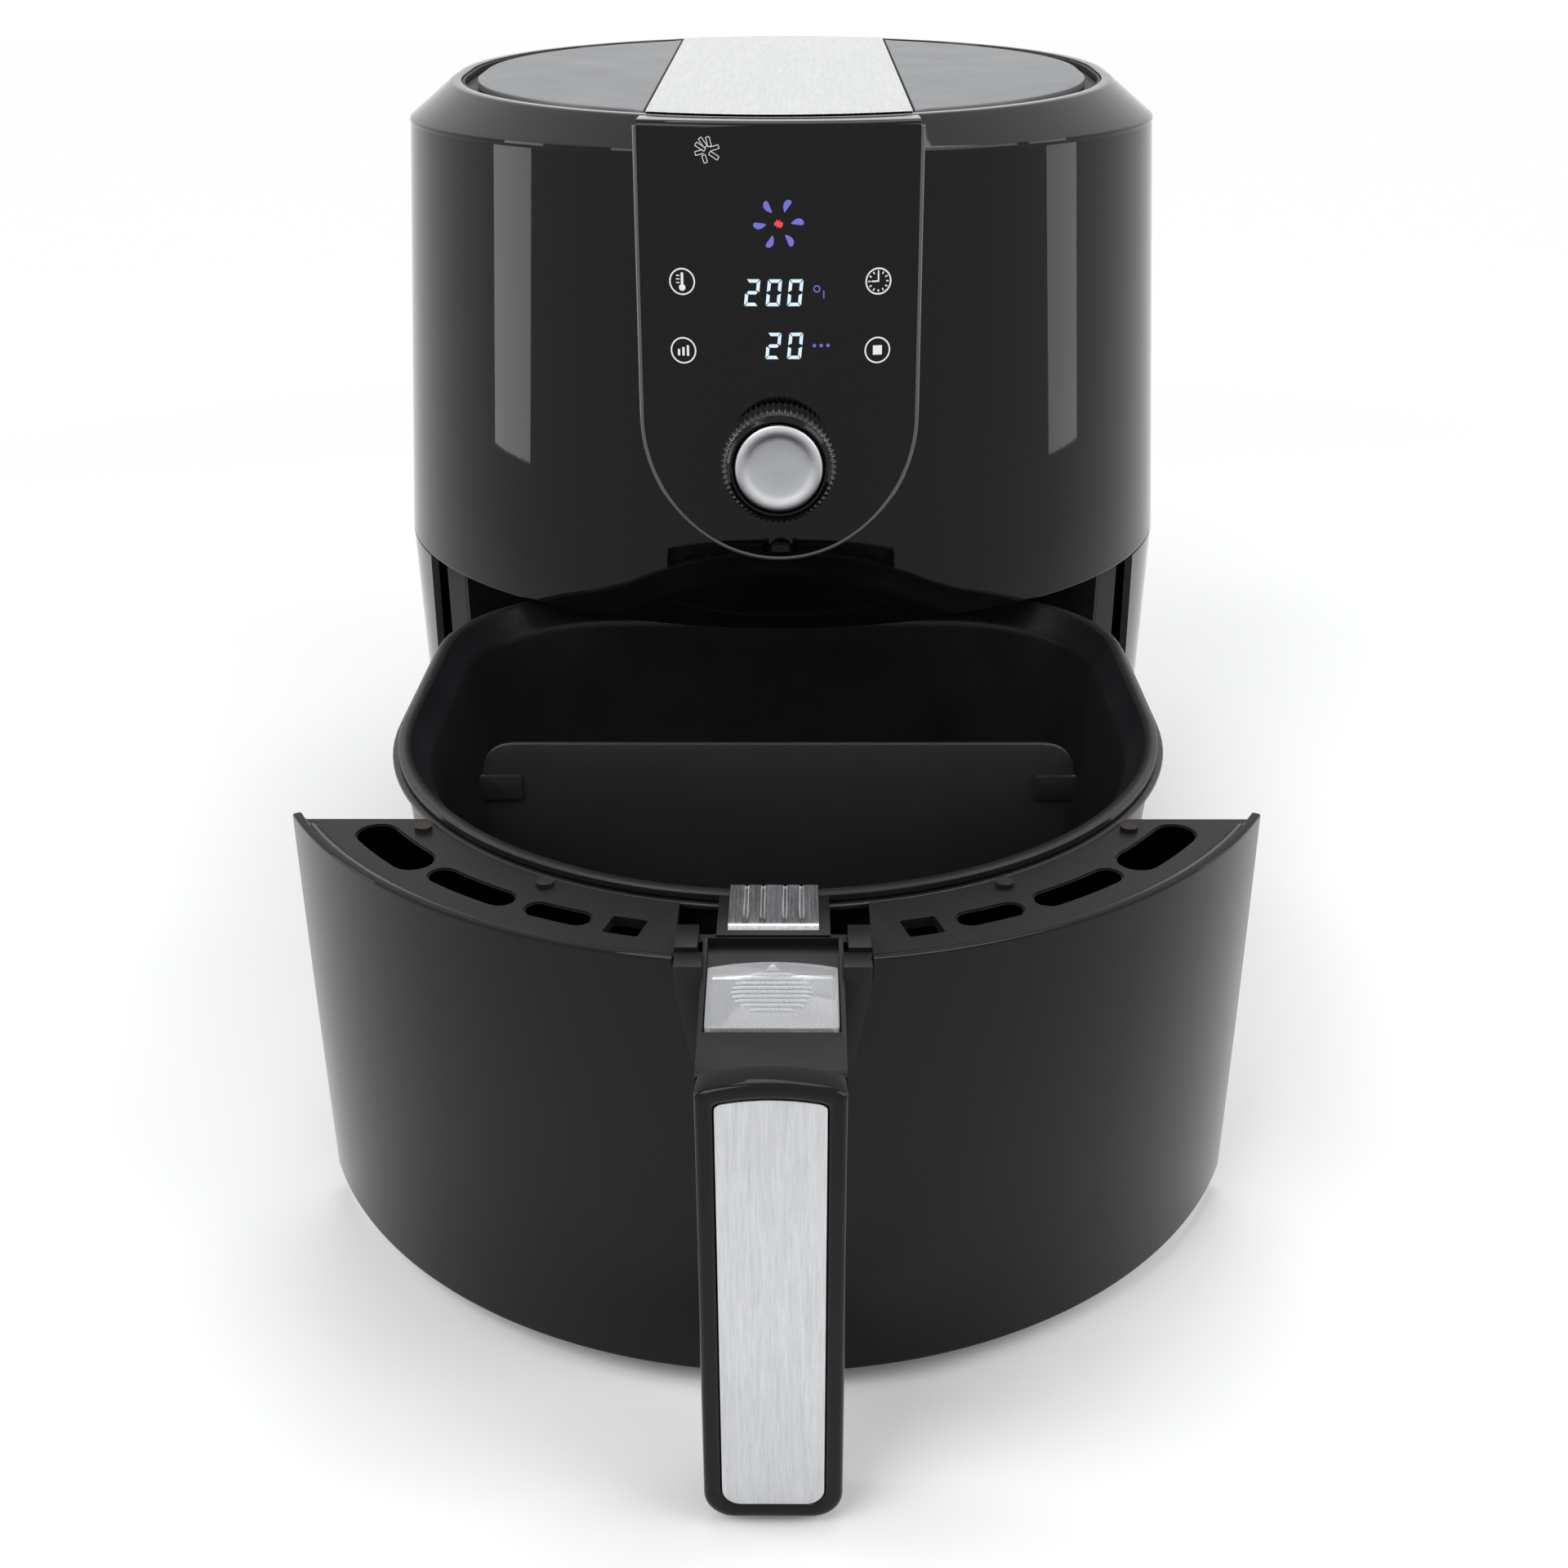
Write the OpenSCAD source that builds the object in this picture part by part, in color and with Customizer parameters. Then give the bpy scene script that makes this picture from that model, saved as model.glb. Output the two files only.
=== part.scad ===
// Digital air fryer with a pull-out drawer, seen from the front as -Y.
// Origin: on the floor, under the axis of the housing. The drawer is drawn open.

/* [Housing] */
// Half width of the body at the parting line above the drawer
body_r = 163; // [155:0.5:200]
// Half width of the body under the top bevel
shoulder_r = 150; // [140:0.5:185]
// Half width of the body at its lower edge
foot_r = 160; // [150:0.5:196]
// How much further the front stands out than a plain circle
front_len = 20; // [8:1:32]
// Height of the lower edge of the housing and the drawer front
skirt_z = 8; // [6:0.5:12]
// Height of the parting line between the upper shell and the drawer
parting_z = 149; // [142:0.5:180]
// Height of the shoulder, where the bevel starts
shoulder_z = 315.5; // [290:0.5:380]
// Height of the top plane on the axis
top_z = 330; // [303:0.5:396]
// Radius of the edge of the top plane
top_r = 133; // [120:0.5:140]
// Slope of the top plane down to the front, in degrees
top_tilt = 2; // [0:0.5:3]
// Wall of the outer shells
wall = 2.6; // [2:0.1:3.2]
// Depth position of the seam between the front and the rear shell
seam_y = 14; // [5:1:30]
// Depth position of the ends of the drawer front, at its top edge
fascia_end_y = -97; // [-110:1:-88]
// How much further back the drawer front reaches at its lower edge
fascia_lean = 15; // [0:1:20]
// Gap between the drawer front and the shells around it
fascia_gap = 2.5; // [1.5:0.1:4]

/* [Top] */
// Width of the bevel's flat rim around the black groove
rim_w = 4; // [3:0.5:6]
// Width of the black groove
groove_w = 6.5; // [4:0.5:9]
// Half width of the steel strip
strip_hw = 47; // [35:0.5:54]

/* [Control panel] */
// Half width of the U-shaped panel with its bezel
panel_hw = 50; // [46:0.5:56]
// Height of the lowest point of the panel
panel_bottom_z = 175; // [168:1:190]
// Width of the bezel line
bezel_w = 1.6; // [1.2:0.1:2.4]
// How far the panel stands out of the shell
panel_lift = 0.8; // [0.4:0.1:1.4]
// Height of the dial's axis
knob_z = 213; // [206:1:225]
// Radius of the dial over its knurling
knob_r = 20.3; // [17:0.1:24.5]
// Length of the knurled ring
knob_len = 11; // [8:0.5:15]
// Number of knurls
knurls = 60; // [36:1:72]
// Radius of the push cap
cap_r = 15.6; // [13:0.1:16.2]
// Travel of the push cap
cap_travel = 1.6; // [1:0.1:2]

/* [Drawer] */
// How far the drawer is pulled out
pull_out = 236; // [200:1:260]
// Half width of the pan at its top
pan_hw = 124; // [116:0.5:126]
// Depth position of the rear wall of the pan, when closed
pan_back_y = 104; // [96:0.5:108]
// Radius of the rear corners of the pan
pan_corner = 60; // [40:1:80]
// Height of the underside of the pan
pan_bottom_z = 20.3; // [19.5:0.1:24]
// Height of the top of the pan's rim
pan_rim_z = 142.5; // [134:0.5:144]
// Wall of the pan
pan_wall = 1.5; // [1.2:0.1:2.5]
// How much the pan narrows from its rim to its floor
pan_draft = 12; // [6:0.5:16]

/* [Basket] */
// Gap between the basket wall and the pan wall
basket_gap = 7.5; // [5:0.5:10]
// Wall of the basket
basket_wall = 1.2; // [0.8:0.1:1.8]
// Height of the basket floor above the pan floor
basket_floor = 14; // [10:0.5:22]
// Diameter of the holes in the basket floor
hole_d = 6; // [4:0.5:8]
// Distance between the holes
hole_pitch = 15; // [13:0.5:20]
// Depth position of the divider plate, when closed
divider_y = -27; // [-50:1:10]
// Gap between the divider's side edge and the basket wall at its top
divider_inset = 17.5; // [16.5:0.5:24]
// Thickness of the divider plate
divider_t = 2; // [1.5:0.1:3]

/* [Handle] */
// Half width of the handle
grip_hw = 18.3; // [16:0.1:20]
// How far the handle stands out from the drawer front
grip_out = 46; // [44:0.5:55]
// Thickness of the handle from front to back
grip_t = 19; // [16:0.5:20]
// Height of the lower end of the handle
grip_bottom_z = 3; // [2:0.5:14]
// Height of the upper end of the handle
grip_top_z = 141; // [136:0.5:142]
// Width of the gloss frame around the steel inlay
grip_frame = 4.6; // [3.5:0.1:6]
// Travel of the release cover
cover_travel = 9; // [6:0.5:9]
// Travel of the release button
button_travel = 2; // [1:0.1:2.4]

/* [Inside] */
// Radius of the hot fan
hot_fan_r = 66; // [50:1:70]
// Radius of the cooling fan
cool_fan_r = 48; // [35:1:54]
// Radius of the cooking chamber
chamber_r = 124; // [112:1:126]
// Radius of the motor shaft
shaft_r = 3; // [2.5:0.1:4]
// Radius of the motor
motor_r = 31; // [24:1:36]
// Radius of the heater tube
heater_r = 3.2; // [2.5:0.1:4]
// Radius of a rubber foot
foot_pad_r = 11; // [8:0.5:14]

/* [Hidden] */
$fn = 96;
eps = 0.01;

// The body narrows in a straight line from the parting line to the shoulder.
function body_at(z) = z > parting_z
    ? body_r + (z - parting_z) * (shoulder_r - body_r) / (shoulder_z - parting_z)
    : foot_r + (z - skirt_z) * (body_r - foot_r) / (parting_z - skirt_z);
function front_at(z) = -(body_at(z) + front_len);

fascia_top_z = parting_z - fascia_gap;
front_y = front_at(fascia_top_z);
inner_r = foot_r - wall;
deck_z = fascia_top_z - 3.2;
frame_hw = pan_hw + 8;
frame_back_y = pan_back_y + 9;
floor_z = pan_bottom_z - 0.3;
liner_bottom_z = parting_z + 3;
liner_top_z = liner_bottom_z + 62;
dome_top_z = liner_top_z + 30;
dome_r = hot_fan_r + 9;
fan_z = liner_top_z + 10;
coil_z = liner_top_z - 9;
guard_z = liner_top_z - 19;
bridge_z = dome_top_z + 14;
motor_z = bridge_z + 2;
knob_back_y = front_at(knob_z - knob_r) - panel_lift - 0.6;
bushing_r = 5;
cap_front = knob_len + 4.2;
stem_r = 2.5;
board_y = front_at(top_z - 12) + wall + 11;
basket_hw = pan_hw - basket_gap;
divider_hw = basket_hw - divider_inset;
basket_bottom_z = pan_bottom_z + pan_wall + basket_floor;
basket_rim_z = pan_rim_z + 0.3 + 2.6;
basket_neck_z = basket_rim_z - 9;
rim_out = 3;
notch_hw = 25.5;
notch_low_hw = 21;
notch_z = 116;
slope = 9;
slope_y = front_y + 4;
slope_z = fascia_top_z - 2;
arm_hw = 18.3;
cover_len = 25.6;
grip_y = front_y - grip_out;
power_y = chamber_r - 4;
foot_x = 85;
foot_front_y = -135;
foot_back_y = 112;
switch_x = frame_hw - pan_corner - 16;

// The body's plan as a flat outline: a round back and a drawn-out round front.
module plan(r) {
    circle(r);
    translate([0, -front_len]) circle(r);
    translate([-r, -front_len]) square([2 * r, front_len]);
}

// One half of a drafted round wall: ra and rb are its outer radii, t is its thickness.
module round_wall(ra, rb, za, zb, t, side) {
    k = (rb - ra) / (zb - za);
    difference() {
        translate([0, 0, za]) cylinder(r1 = ra, r2 = rb, h = zb - za);
        translate([0, 0, za - 1]) cylinder(r1 = ra - t - k, r2 = rb - t + k, h = zb - za + 2);
        translate([-300, side > 0 ? -300 : 0, za - 2]) cube([600, 300, zb - za + 4]);
    }
}

// A drafted wall that follows the plan: round back, straight sides and round front.
module loaf_wall(ra, rb, za, zb, t) {
    round_wall(ra, rb, za, zb, t, 1);
    translate([0, -front_len, 0]) round_wall(ra, rb, za, zb, t, -1);
    for (s = [-1, 1]) along_y(-front_len, 0)
        polygon([[s * ra, za], [s * (ra - t), za], [s * (rb - t), zb], [s * rb, zb]]);
}

// The layer of the body between the offsets out and in, above the parting line.
module layer_above(za, zb, out = 0, in = -wall) {
    k = (shoulder_r - body_r) / (shoulder_z - parting_z);
    loaf_wall(body_r + (za - parting_z) * k + out, body_r + (zb - parting_z) * k + out, za, zb, out - in);
}

// The same below the parting line.
module layer_below(za, zb, out = 0, in = -wall) {
    loaf_wall(body_at(za) + out, body_at(zb) + out, za, zb, out - in);
}

// Puts children in the plane of the sloping top.
module on_top() {
    translate([0, 0, top_z]) rotate([top_tilt, 0, 0]) children();
}

// Turns an outline drawn in X and Z into a prism from depth ya back to yb.
module along_y(ya, yb) {
    translate([0, yb, 0]) rotate([90, 0, 0]) linear_extrude(yb - ya) children();
}

// The U of the control panel, in X and Z.
module panel_outline(hw, low, high) {
    translate([0, low + hw]) circle(hw);
    translate([-hw, low + hw]) square([2 * hw, high - low - hw]);
}

// Moves what belongs to the drawer to its open place.
module drawn() {
    translate([0, -pull_out, 0]) children();
}

// Outline of the pan: round front, straight sides, round rear corners.
module pan_outline(o = 0) {
    r = pan_corner + o;
    hw = pan_hw + o;
    translate([0, -front_len]) circle(hw);
    for (s = [-1, 1]) translate([s * (pan_hw - pan_corner), pan_back_y - pan_corner]) circle(r);
    translate([-hw, -front_len]) square([2 * hw, front_len + pan_back_y - pan_corner]);
    translate([-(pan_hw - pan_corner), 0]) square([2 * (pan_hw - pan_corner), pan_back_y + o]);
}

module pan_slab(z, o, t = 0.1) {
    translate([0, 0, z]) linear_extrude(t) pan_outline(o);
}

// Everything behind the leaning rear edge of the drawer front, moved back by c.
module behind_front(c = 0) {
    z = [-10, parting_z + 30];
    y = [for (q = z) fascia_end_y + c + fascia_lean * (fascia_top_z - q) / (fascia_top_z - skirt_z)];
    rotate([90, 0, 90]) translate([0, 0, -300]) linear_extrude(600)
        polygon([[y[0], z[0]], [400, z[0]], [400, z[1]], [y[1], z[1]]]);
}

// The notch in the drawer front that the handle bracket fills, in X and Z.
module notch_outline(c = 0) {
    polygon([
        [-notch_low_hw - c, notch_z - c], [notch_low_hw + c, notch_z - c],
        [notch_hw + c, fascia_top_z - 6], [notch_hw + c, fascia_top_z + 10],
        [-notch_hw - c, fascia_top_z + 10], [-notch_hw - c, fascia_top_z - 6]
    ]);
}

// Handle outline in X and Z: arched top, rounded lower corners, slightly narrower at the foot.
module grip_outline(o = 0) {
    hw = grip_hw - o;
    zb = grip_bottom_z + o;
    zt = grip_top_z - o;
    rc = 8 - o * 0.6;
    for (s = [-1, 1]) translate([s * (hw - rc), zb + rc]) circle(rc);
    translate([-(hw - rc), zb]) square([2 * (hw - rc), rc * 2]);
    translate([-hw, zb + rc]) square([2 * hw, zt - 6 - zb - rc]);
    intersection() {
        translate([0, zt - 60]) circle(60);
        translate([-hw, zb + rc]) square([2 * hw, zt - zb]);
    }
}

// Puts children on the slope of the handle bracket: +Y runs up and back.
module on_slope() {
    translate([0, slope_y, slope_z]) rotate([slope, 0, 0]) children();
}

// ---- housing: outside ----

// Gloss front shell, with a U-shaped opening for the control panel.
module upper_shell() {
    color("#17181b") difference() {
        layer_above(parting_z, shoulder_z);
        translate([-300, seam_y, 0]) cube([600, 300, 400]);
        along_y(-300, -60) panel_outline(panel_hw + 0.2, panel_bottom_z - 0.2, shoulder_z + 20);
    }
}

// Gloss rear shell from the floor to the shoulder, with side skirts beside the drawer.
module rear_shell() {
    color("#141517") difference() {
        union() {
            difference() {
                layer_above(parting_z, shoulder_z);
                translate([-300, -300, 0]) cube([600, 300 + seam_y + 0.4, 400]);
            }
            difference() {
                intersection() {
                    layer_below(skirt_z, parting_z);
                    behind_front(fascia_gap);
                }
                translate([-300, -300, parting_z - 0.3]) cube([600, 300 + seam_y + 0.4, 10]);
            }
        }
        // opening for the rear grille
        translate([-38, 60, 205]) cube([76, 200, 66]);
        // hole for the cord gland
        translate([95, 60, 40]) rotate([-90, 0, 0]) cylinder(r = 8.2, h = 200);
    }
}

// Gloss bevelled cover between the shoulder and the flat rim of the top.
module top_cover() {
    color("#1b1c1f") difference() {
        hull() {
            translate([0, 0, shoulder_z]) linear_extrude(0.05) plan(shoulder_r, $fn = 96);
            on_top() translate([0, 0, -0.05]) linear_extrude(0.05) plan(top_r, $fn = 96);
        }
        hull() {
            translate([0, 0, shoulder_z - 1]) linear_extrude(0.05) plan(shoulder_r - wall, $fn = 96);
            on_top() translate([0, 0, -wall]) linear_extrude(0.05) plan(top_r - wall, $fn = 96);
        }
        on_top() translate([0, 0, -10]) linear_extrude(20) plan(top_r - rim_w);
        translate([-panel_hw - 0.2, -300, shoulder_z - 5])
            cube([2 * panel_hw + 0.4, 300 - top_r - front_len + 8, 40]);
    }
}

// Black groove ring inside the rim, carrying the grey top panel.
module top_groove() {
    color("#0b0b0c") difference() {
        on_top() union() {
            translate([0, 0, -4.2]) linear_extrude(1.4) plan(top_r - rim_w - 0.2);
            translate([0, 0, -5]) linear_extrude(2.2) difference() {
                plan(top_r - rim_w - 0.2);
                plan(top_r - rim_w - 4);
            }
            // pad under the steel strip
            translate([0, 0, -3]) linear_extrude(3) intersection() {
                plan(top_r - rim_w - 0.6);
                square([2 * strip_hw - 2, 600], center = true);
            }
        }
        translate([-panel_hw - 0.2, -300, shoulder_z - 5])
            cube([2 * panel_hw + 0.4, 300 - top_r - front_len + 8, 40]);
    }
}

// Two grey halves of the top panel, left and right of the steel strip.
module top_panel() {
    r = top_r - rim_w - groove_w;
    color("#6a6d72") difference() {
        on_top() translate([0, 0, -2.8]) linear_extrude(3) plan(r);
        on_top() translate([-strip_hw - 0.8, -300, -5]) cube([2 * strip_hw + 1.6, 600, 20]);
    }
}

// Brushed steel strip from the panel's top edge to the back, with turned-down sides.
module steel_strip() {
    front = -(top_r + front_len) + 6;
    back = top_r - 1;
    color("#c9cbcd") difference() {
        on_top() union() {
            translate([-strip_hw, front, 0]) cube([2 * strip_hw, back - front, 0.8]);
            for (s = [-1, 1]) translate([s * strip_hw - (s > 0 ? 0.8 : 0), front, -2.6])
                cube([0.8, back - front, 2.7]);
        }
        on_top() translate([0, 0, -20]) linear_extrude(40) difference() {
            square(600, center = true);
            plan(top_r - rim_w - 0.4);
        }
    }
}

// Thin raised U bezel around the touch plate, with the rounded lip at its top.
module control_frame() {
    zt = top_z + (front_at(shoulder_z) + 4) * tan(top_tilt) + 1;
    color("#1d1e21") intersection() {
        layer_above(parting_z + 10, zt, panel_lift + 0.5);
        along_y(-300, -100) difference() {
            panel_outline(panel_hw, panel_bottom_z, zt);
            translate([0, -3]) panel_outline(panel_hw - bezel_w, panel_bottom_z + bezel_w + 3, zt);
        }
    }
}

// Curved touch plate, open at the dial.
module control_panel() {
    zt = top_z + (front_at(shoulder_z) + 4) * tan(top_tilt) - 2.2;
    hw = panel_hw - bezel_w - 0.1;
    color("#0c0c0e") difference() {
        intersection() {
            layer_above(parting_z + 10, zt, panel_lift, -1.6);
            along_y(-300, -100) panel_outline(hw, panel_bottom_z + bezel_w + 0.1, zt);
        }
        translate([0, -300, knob_z]) rotate([-90, 0, 0]) cylinder(r = bushing_r + 0.2, h = 300);
    }
}

// ---- controls ----

// Board behind the touch plate, held on four stand-offs.
module display_board() {
    zc = [200, shoulder_z - 8];
    color("#1f4a2e") {
        translate([-38, board_y, zc[0]]) cube([76, 1.6, zc[1] - zc[0]]);
        for (x = [-34, 34], z = [zc[0] + 6, zc[1] - 6]) {
            reach = board_y - (front_at(z) + 1.6) - 34 * 34 / (2 * body_at(z));
            translate([x, board_y, z]) rotate([90, 0, 0]) cylinder(r = 2.4, h = reach - 0.9);
        }
    }
}

// Light box of the display: two rows of digits and the fan symbol.
module display_block() {
    color("#dcdcd6") translate([-22, board_y - 9, 244]) cube([40, 9, 56]);
}

// Rotary encoder with its bushing, which carries the dial.
module dial_encoder() {
    color("#8d8f92") difference() {
        union() {
            translate([-7, board_y - 8, knob_z - 7]) cube([14, 8, 14]);
            translate([0, board_y - 8, knob_z]) rotate([90, 0, 0])
                cylinder(r = bushing_r, h = board_y - 8 - knob_back_y + 7);
        }
        translate([0, board_y - 3, knob_z]) rotate([90, 0, 0]) cylinder(r = stem_r + 0.05, h = 80);
    }
}

// Knurled ring of the dial.
module dial_ring() {
    color("#131315") translate([0, knob_back_y, knob_z]) rotate([90, 0, 0]) difference() {
        linear_extrude(knob_len) polygon([
            for (i = [0 : 2 * knurls - 1])
                let (r = i % 2 == 0 ? knob_r : knob_r - 0.7, a = i * 180 / knurls)
                [r * cos(a), r * sin(a)]
        ]);
        translate([0, 0, -1]) cylinder(r = bushing_r + 0.05, h = 8.4);
        translate([0, 0, 7.4]) cylinder(r = cap_r + 0.6, h = 20);
    }
}

// Gloss chamfered front ring of the dial.
module dial_face() {
    color("#222326") translate([0, knob_back_y - knob_len, knob_z]) rotate([90, 0, 0])
        rotate_extrude() polygon([
            [cap_r + 0.4, 0], [knob_r - 0.2, 0], [knob_r - 0.2, 1.4],
            [knob_r - 2.6, 4.4], [cap_r + 0.9, 4.4], [cap_r + 0.4, 3.9]
        ]);
}

// Silver push cap with a shallow dish.
module push_cap() {
    front = cap_front;
    color("#d4d5d6") translate([0, knob_back_y, knob_z]) rotate([90, 0, 0]) rotate_extrude() polygon([
        [0, front - 4], [cap_r, front - 4], [cap_r, front - 0.8], [cap_r - 0.8, front],
        [cap_r - 3, front], [cap_r - 4, front - 0.7], [0, front - 1]
    ]);
}

// Stem behind the push cap, which slides in the encoder.
module cap_stem() {
    color("#c9cacc") translate([0, knob_back_y, knob_z]) rotate([90, 0, 0])
        translate([0, 0, -6]) cylinder(r = stem_r, h = cap_front - 4 + 6);
}

// ---- housing: inside ----

// Moulded guide frame around the drawer, with two front pillars and a top flange.
module drawer_frame() {
    t = 2.4;
    color("#2a2b2e") {
        difference() {
            union() {
                translate([0, 0, floor_z - 3]) linear_extrude(parting_z - floor_z + 3) difference() {
                    frame_outline(t);
                    frame_outline(0);
                    translate([-300, -300]) square([600, 300 + fascia_end_y + fascia_gap + 2]);
                }
                translate([0, 0, parting_z + 0.3]) linear_extrude(2.4) difference() {
                    intersection() {
                        plan(body_at(parting_z + 4) - wall - 0.3);
                        translate([-300, front_y + 14]) square([600, 600]);
                    }
                    pan_outline(2.5);
                }
                // front pillars
                for (s = [-1, 1]) translate([s * (frame_hw + 3), fascia_end_y + 9.2, skirt_z + 6])
                    linear_extrude(parting_z - skirt_z - 6 + 0.3 + eps) square([8, 9], center = true);
                translate([0, 0, parting_z - 2]) linear_extrude(2.3 + eps) difference() {
                    frame_outline(6);
                    frame_outline(0);
                    translate([-300, -300]) square([600, 300 + fascia_end_y + fascia_gap + 2]);
                }
            }
            // hole for the plunger of the door switch
            translate([switch_x, frame_back_y - 4, 102]) rotate([-90, 0, 0]) cylinder(r = 2.3, h = 8);
        }
        difference() {
            translate([0, 0, floor_z - 3]) linear_extrude(2) intersection() {
                frame_outline(0);
                plan(inner_r - 6);
            }
            for (s = [-1, 1]) translate([s * 60, 20, 0]) cylinder(r = 18, h = 40);
        }
        // runners that carry the pan, also when it is pulled out
        translate([0, 0, floor_z - 1 - eps]) linear_extrude(1 + eps) intersection() {
            plan(inner_r - 7);
            for (x = [-78, -30, 30, 78]) translate([x - 1.5, -200]) square([3, 200 + pan_back_y - 40]);
        }
    }
}

module frame_outline(o) {
    hw = frame_hw + o;
    r = pan_corner + 6 + o;
    c = [frame_hw - pan_corner - 6, frame_back_y - pan_corner - 6];
    for (s = [-1, 1]) translate([s * c[0], c[1]]) circle(r);
    translate([-hw, -150]) square([2 * hw, 150 + c[1]]);
    translate([-c[0], 0]) square([2 * c[0], frame_back_y + o]);
}

// Bottom plate with vent slots and bosses for the feet.
module base_plate() {
    color("#1c1d1f") difference() {
        union() {
            translate([0, 0, skirt_z + 0.3]) linear_extrude(3) plan(inner_r - 1);
            for (p = foot_places()) translate([p[0], p[1], skirt_z + 0.3]) cylinder(r = foot_pad_r + 2, h = 5);
            for (p = screw_places()) translate([p[0], p[1], skirt_z + 0.3]) cylinder(r = 5, h = floor_z - 3 - skirt_z - 0.3);
        }
        for (i = [-4 : 4]) translate([i * 11 - 2, -30, 0]) cube([4, 70, 40]);
        for (p = screw_places()) translate([p[0], p[1], 0]) cylinder(r = 1.7, h = 60);
    }
}

function foot_places() = [for (x = [-foot_x, foot_x], y = [foot_front_y, foot_back_y]) [x, y]];
function screw_places() = [for (x = [-112, 112], y = [-60, 40]) [x, y]];

// Four rubber feet.
module feet() {
    color("#202020") for (p = foot_places()) translate([p[0], p[1], 0]) rotate_extrude() polygon([
        [0, 0], [foot_pad_r - 2, 0], [foot_pad_r, 2.5], [foot_pad_r, skirt_z + 0.3], [0, skirt_z + 0.3]
    ]);
}

// Screws up through the bottom plate.
module base_screws() {
    color("#9a9c9e") for (p = screw_places()) translate([p[0], p[1], 0]) {
        translate([0, 0, skirt_z - 1.3]) cylinder(r = 3.2, h = 1.6);
        translate([0, 0, skirt_z + 0.2]) cylinder(r = 1.6, h = 6);
    }
}

// Pressed steel chamber over the drawer, with a raised dome for the hot fan.
module cooking_chamber() {
    t = 0.9;
    color("#a7a9ab") difference() {
        rotate_extrude() polygon([
            [chamber_r - t, liner_bottom_z], [chamber_r + 12, liner_bottom_z],
            [chamber_r + 12, liner_bottom_z + t], [chamber_r, liner_bottom_z + t],
            [chamber_r, liner_top_z], [dome_r, liner_top_z], [dome_r, dome_top_z],
            [shaft_r + 2, dome_top_z], [shaft_r + 2, dome_top_z - t],
            [dome_r - t, dome_top_z - t], [dome_r - t, liner_top_z - t],
            [chamber_r - t, liner_top_z - t]
        ]);
        for (a = [0 : 45 : 315]) rotate(a) translate([dome_r * 0.55, 0, dome_top_z - 5])
            translate([0, 14, 0]) cylinder(r = 2.2, h = 10);
        for (a = heater_leg_angles()) rotate(a)
            translate([dome_r + 10, 0, liner_top_z - 5]) cylinder(r = heater_r + 0.6, h = 10);
    }
}

function heater_leg_angles() = [84, 96];

// Tube heater: three rings joined by bridges, with two legs up through the chamber roof.
module heater_coil() {
    radii = [hot_fan_r * 0.62, hot_fan_r * 0.86, hot_fan_r * 1.1];
    color("#5b5a58") {
        for (r = radii) rotate_extrude() translate([r, coil_z]) circle(heater_r);
        for (a = [60, 120]) rotate(a) translate([radii[0], 0, coil_z]) rotate([0, 90, 0])
            cylinder(r = heater_r * 0.8, h = radii[2] - radii[0]);
        for (a = heater_leg_angles()) rotate(a) {
            translate([radii[2], 0, coil_z]) rotate([0, 90, 0])
                cylinder(r = heater_r * 0.8, h = dome_r + 10 - radii[2]);
            translate([dome_r + 10, 0, coil_z]) sphere(heater_r);
            translate([dome_r + 10, 0, coil_z]) cylinder(r = heater_r, h = liner_top_z - coil_z + 16);
        }
    }
}

// Wire guard under the heater.
module heater_guard() {
    color("#8f9193") {
        for (r = [20 : 14 : 76]) rotate_extrude() translate([r, guard_z]) circle(1.1);
        for (a = [0 : 60 : 300]) rotate(a) translate([18, 0, guard_z + 1.4]) rotate([0, 90, 0])
            cylinder(r = 1.1, h = 72);
    }
}

// Posts that carry the heater and its guard from the chamber roof.
module heater_posts() {
    r = dome_r + 8;
    color("#b3b4b6") for (a = [0 : 60 : 300]) rotate(a) {
        translate([r, -4, guard_z + 2.8]) cube([0.8, 8, liner_top_z - 0.9 - guard_z - 2.8]);
        translate([r - 12, -4, guard_z + 2.8]) cube([12.4, 8, 0.8]);
    }
}

// Bridge over the dome that holds the motor.
module motor_bridge() {
    w = 26;
    reach = dome_r + 14;
    color("#9fa1a4") difference() {
        union() {
            translate([-reach, -w / 2, bridge_z]) cube([2 * reach, w, 2]);
            for (s = [-1, 1]) {
                translate([s * reach - 1, -w / 2, liner_top_z]) cube([2, w, bridge_z - liner_top_z + 2]);
                translate([s * (reach + 6) - 7, -w / 2, liner_top_z]) cube([14, w, 1.6]);
            }
            translate([0, 0, bridge_z]) cylinder(r = motor_r + 2, h = 2);
        }
        translate([0, 0, bridge_z - 1]) cylinder(r = 9, h = 4);
    }
}

// Motor with a laminated body, end bell and shaft bore.
module fan_motor() {
    color("#77797c") difference() {
        union() {
            translate([0, 0, motor_z]) cylinder(r = motor_r, h = 22);
            translate([0, 0, motor_z + 22]) cylinder(r1 = motor_r - 4, r2 = motor_r - 12, h = 8);
            translate([0, 0, motor_z - 3.4]) cylinder(r = 8, h = 3.4 + eps);
            for (a = [45 : 90 : 315]) rotate(a) translate([motor_r - 1, 0, motor_z]) cylinder(r = 4, h = 22);
        }
        translate([0, 0, motor_z - 10]) cylinder(r = shaft_r + 0.05, h = 60);
    }
}

// Shaft through the motor and both fans.
module fan_shaft() {
    color("#c2c4c6") translate([0, 0, fan_z - 5]) cylinder(r = shaft_r, h = motor_z + 34 - fan_z + 5);
}

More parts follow.
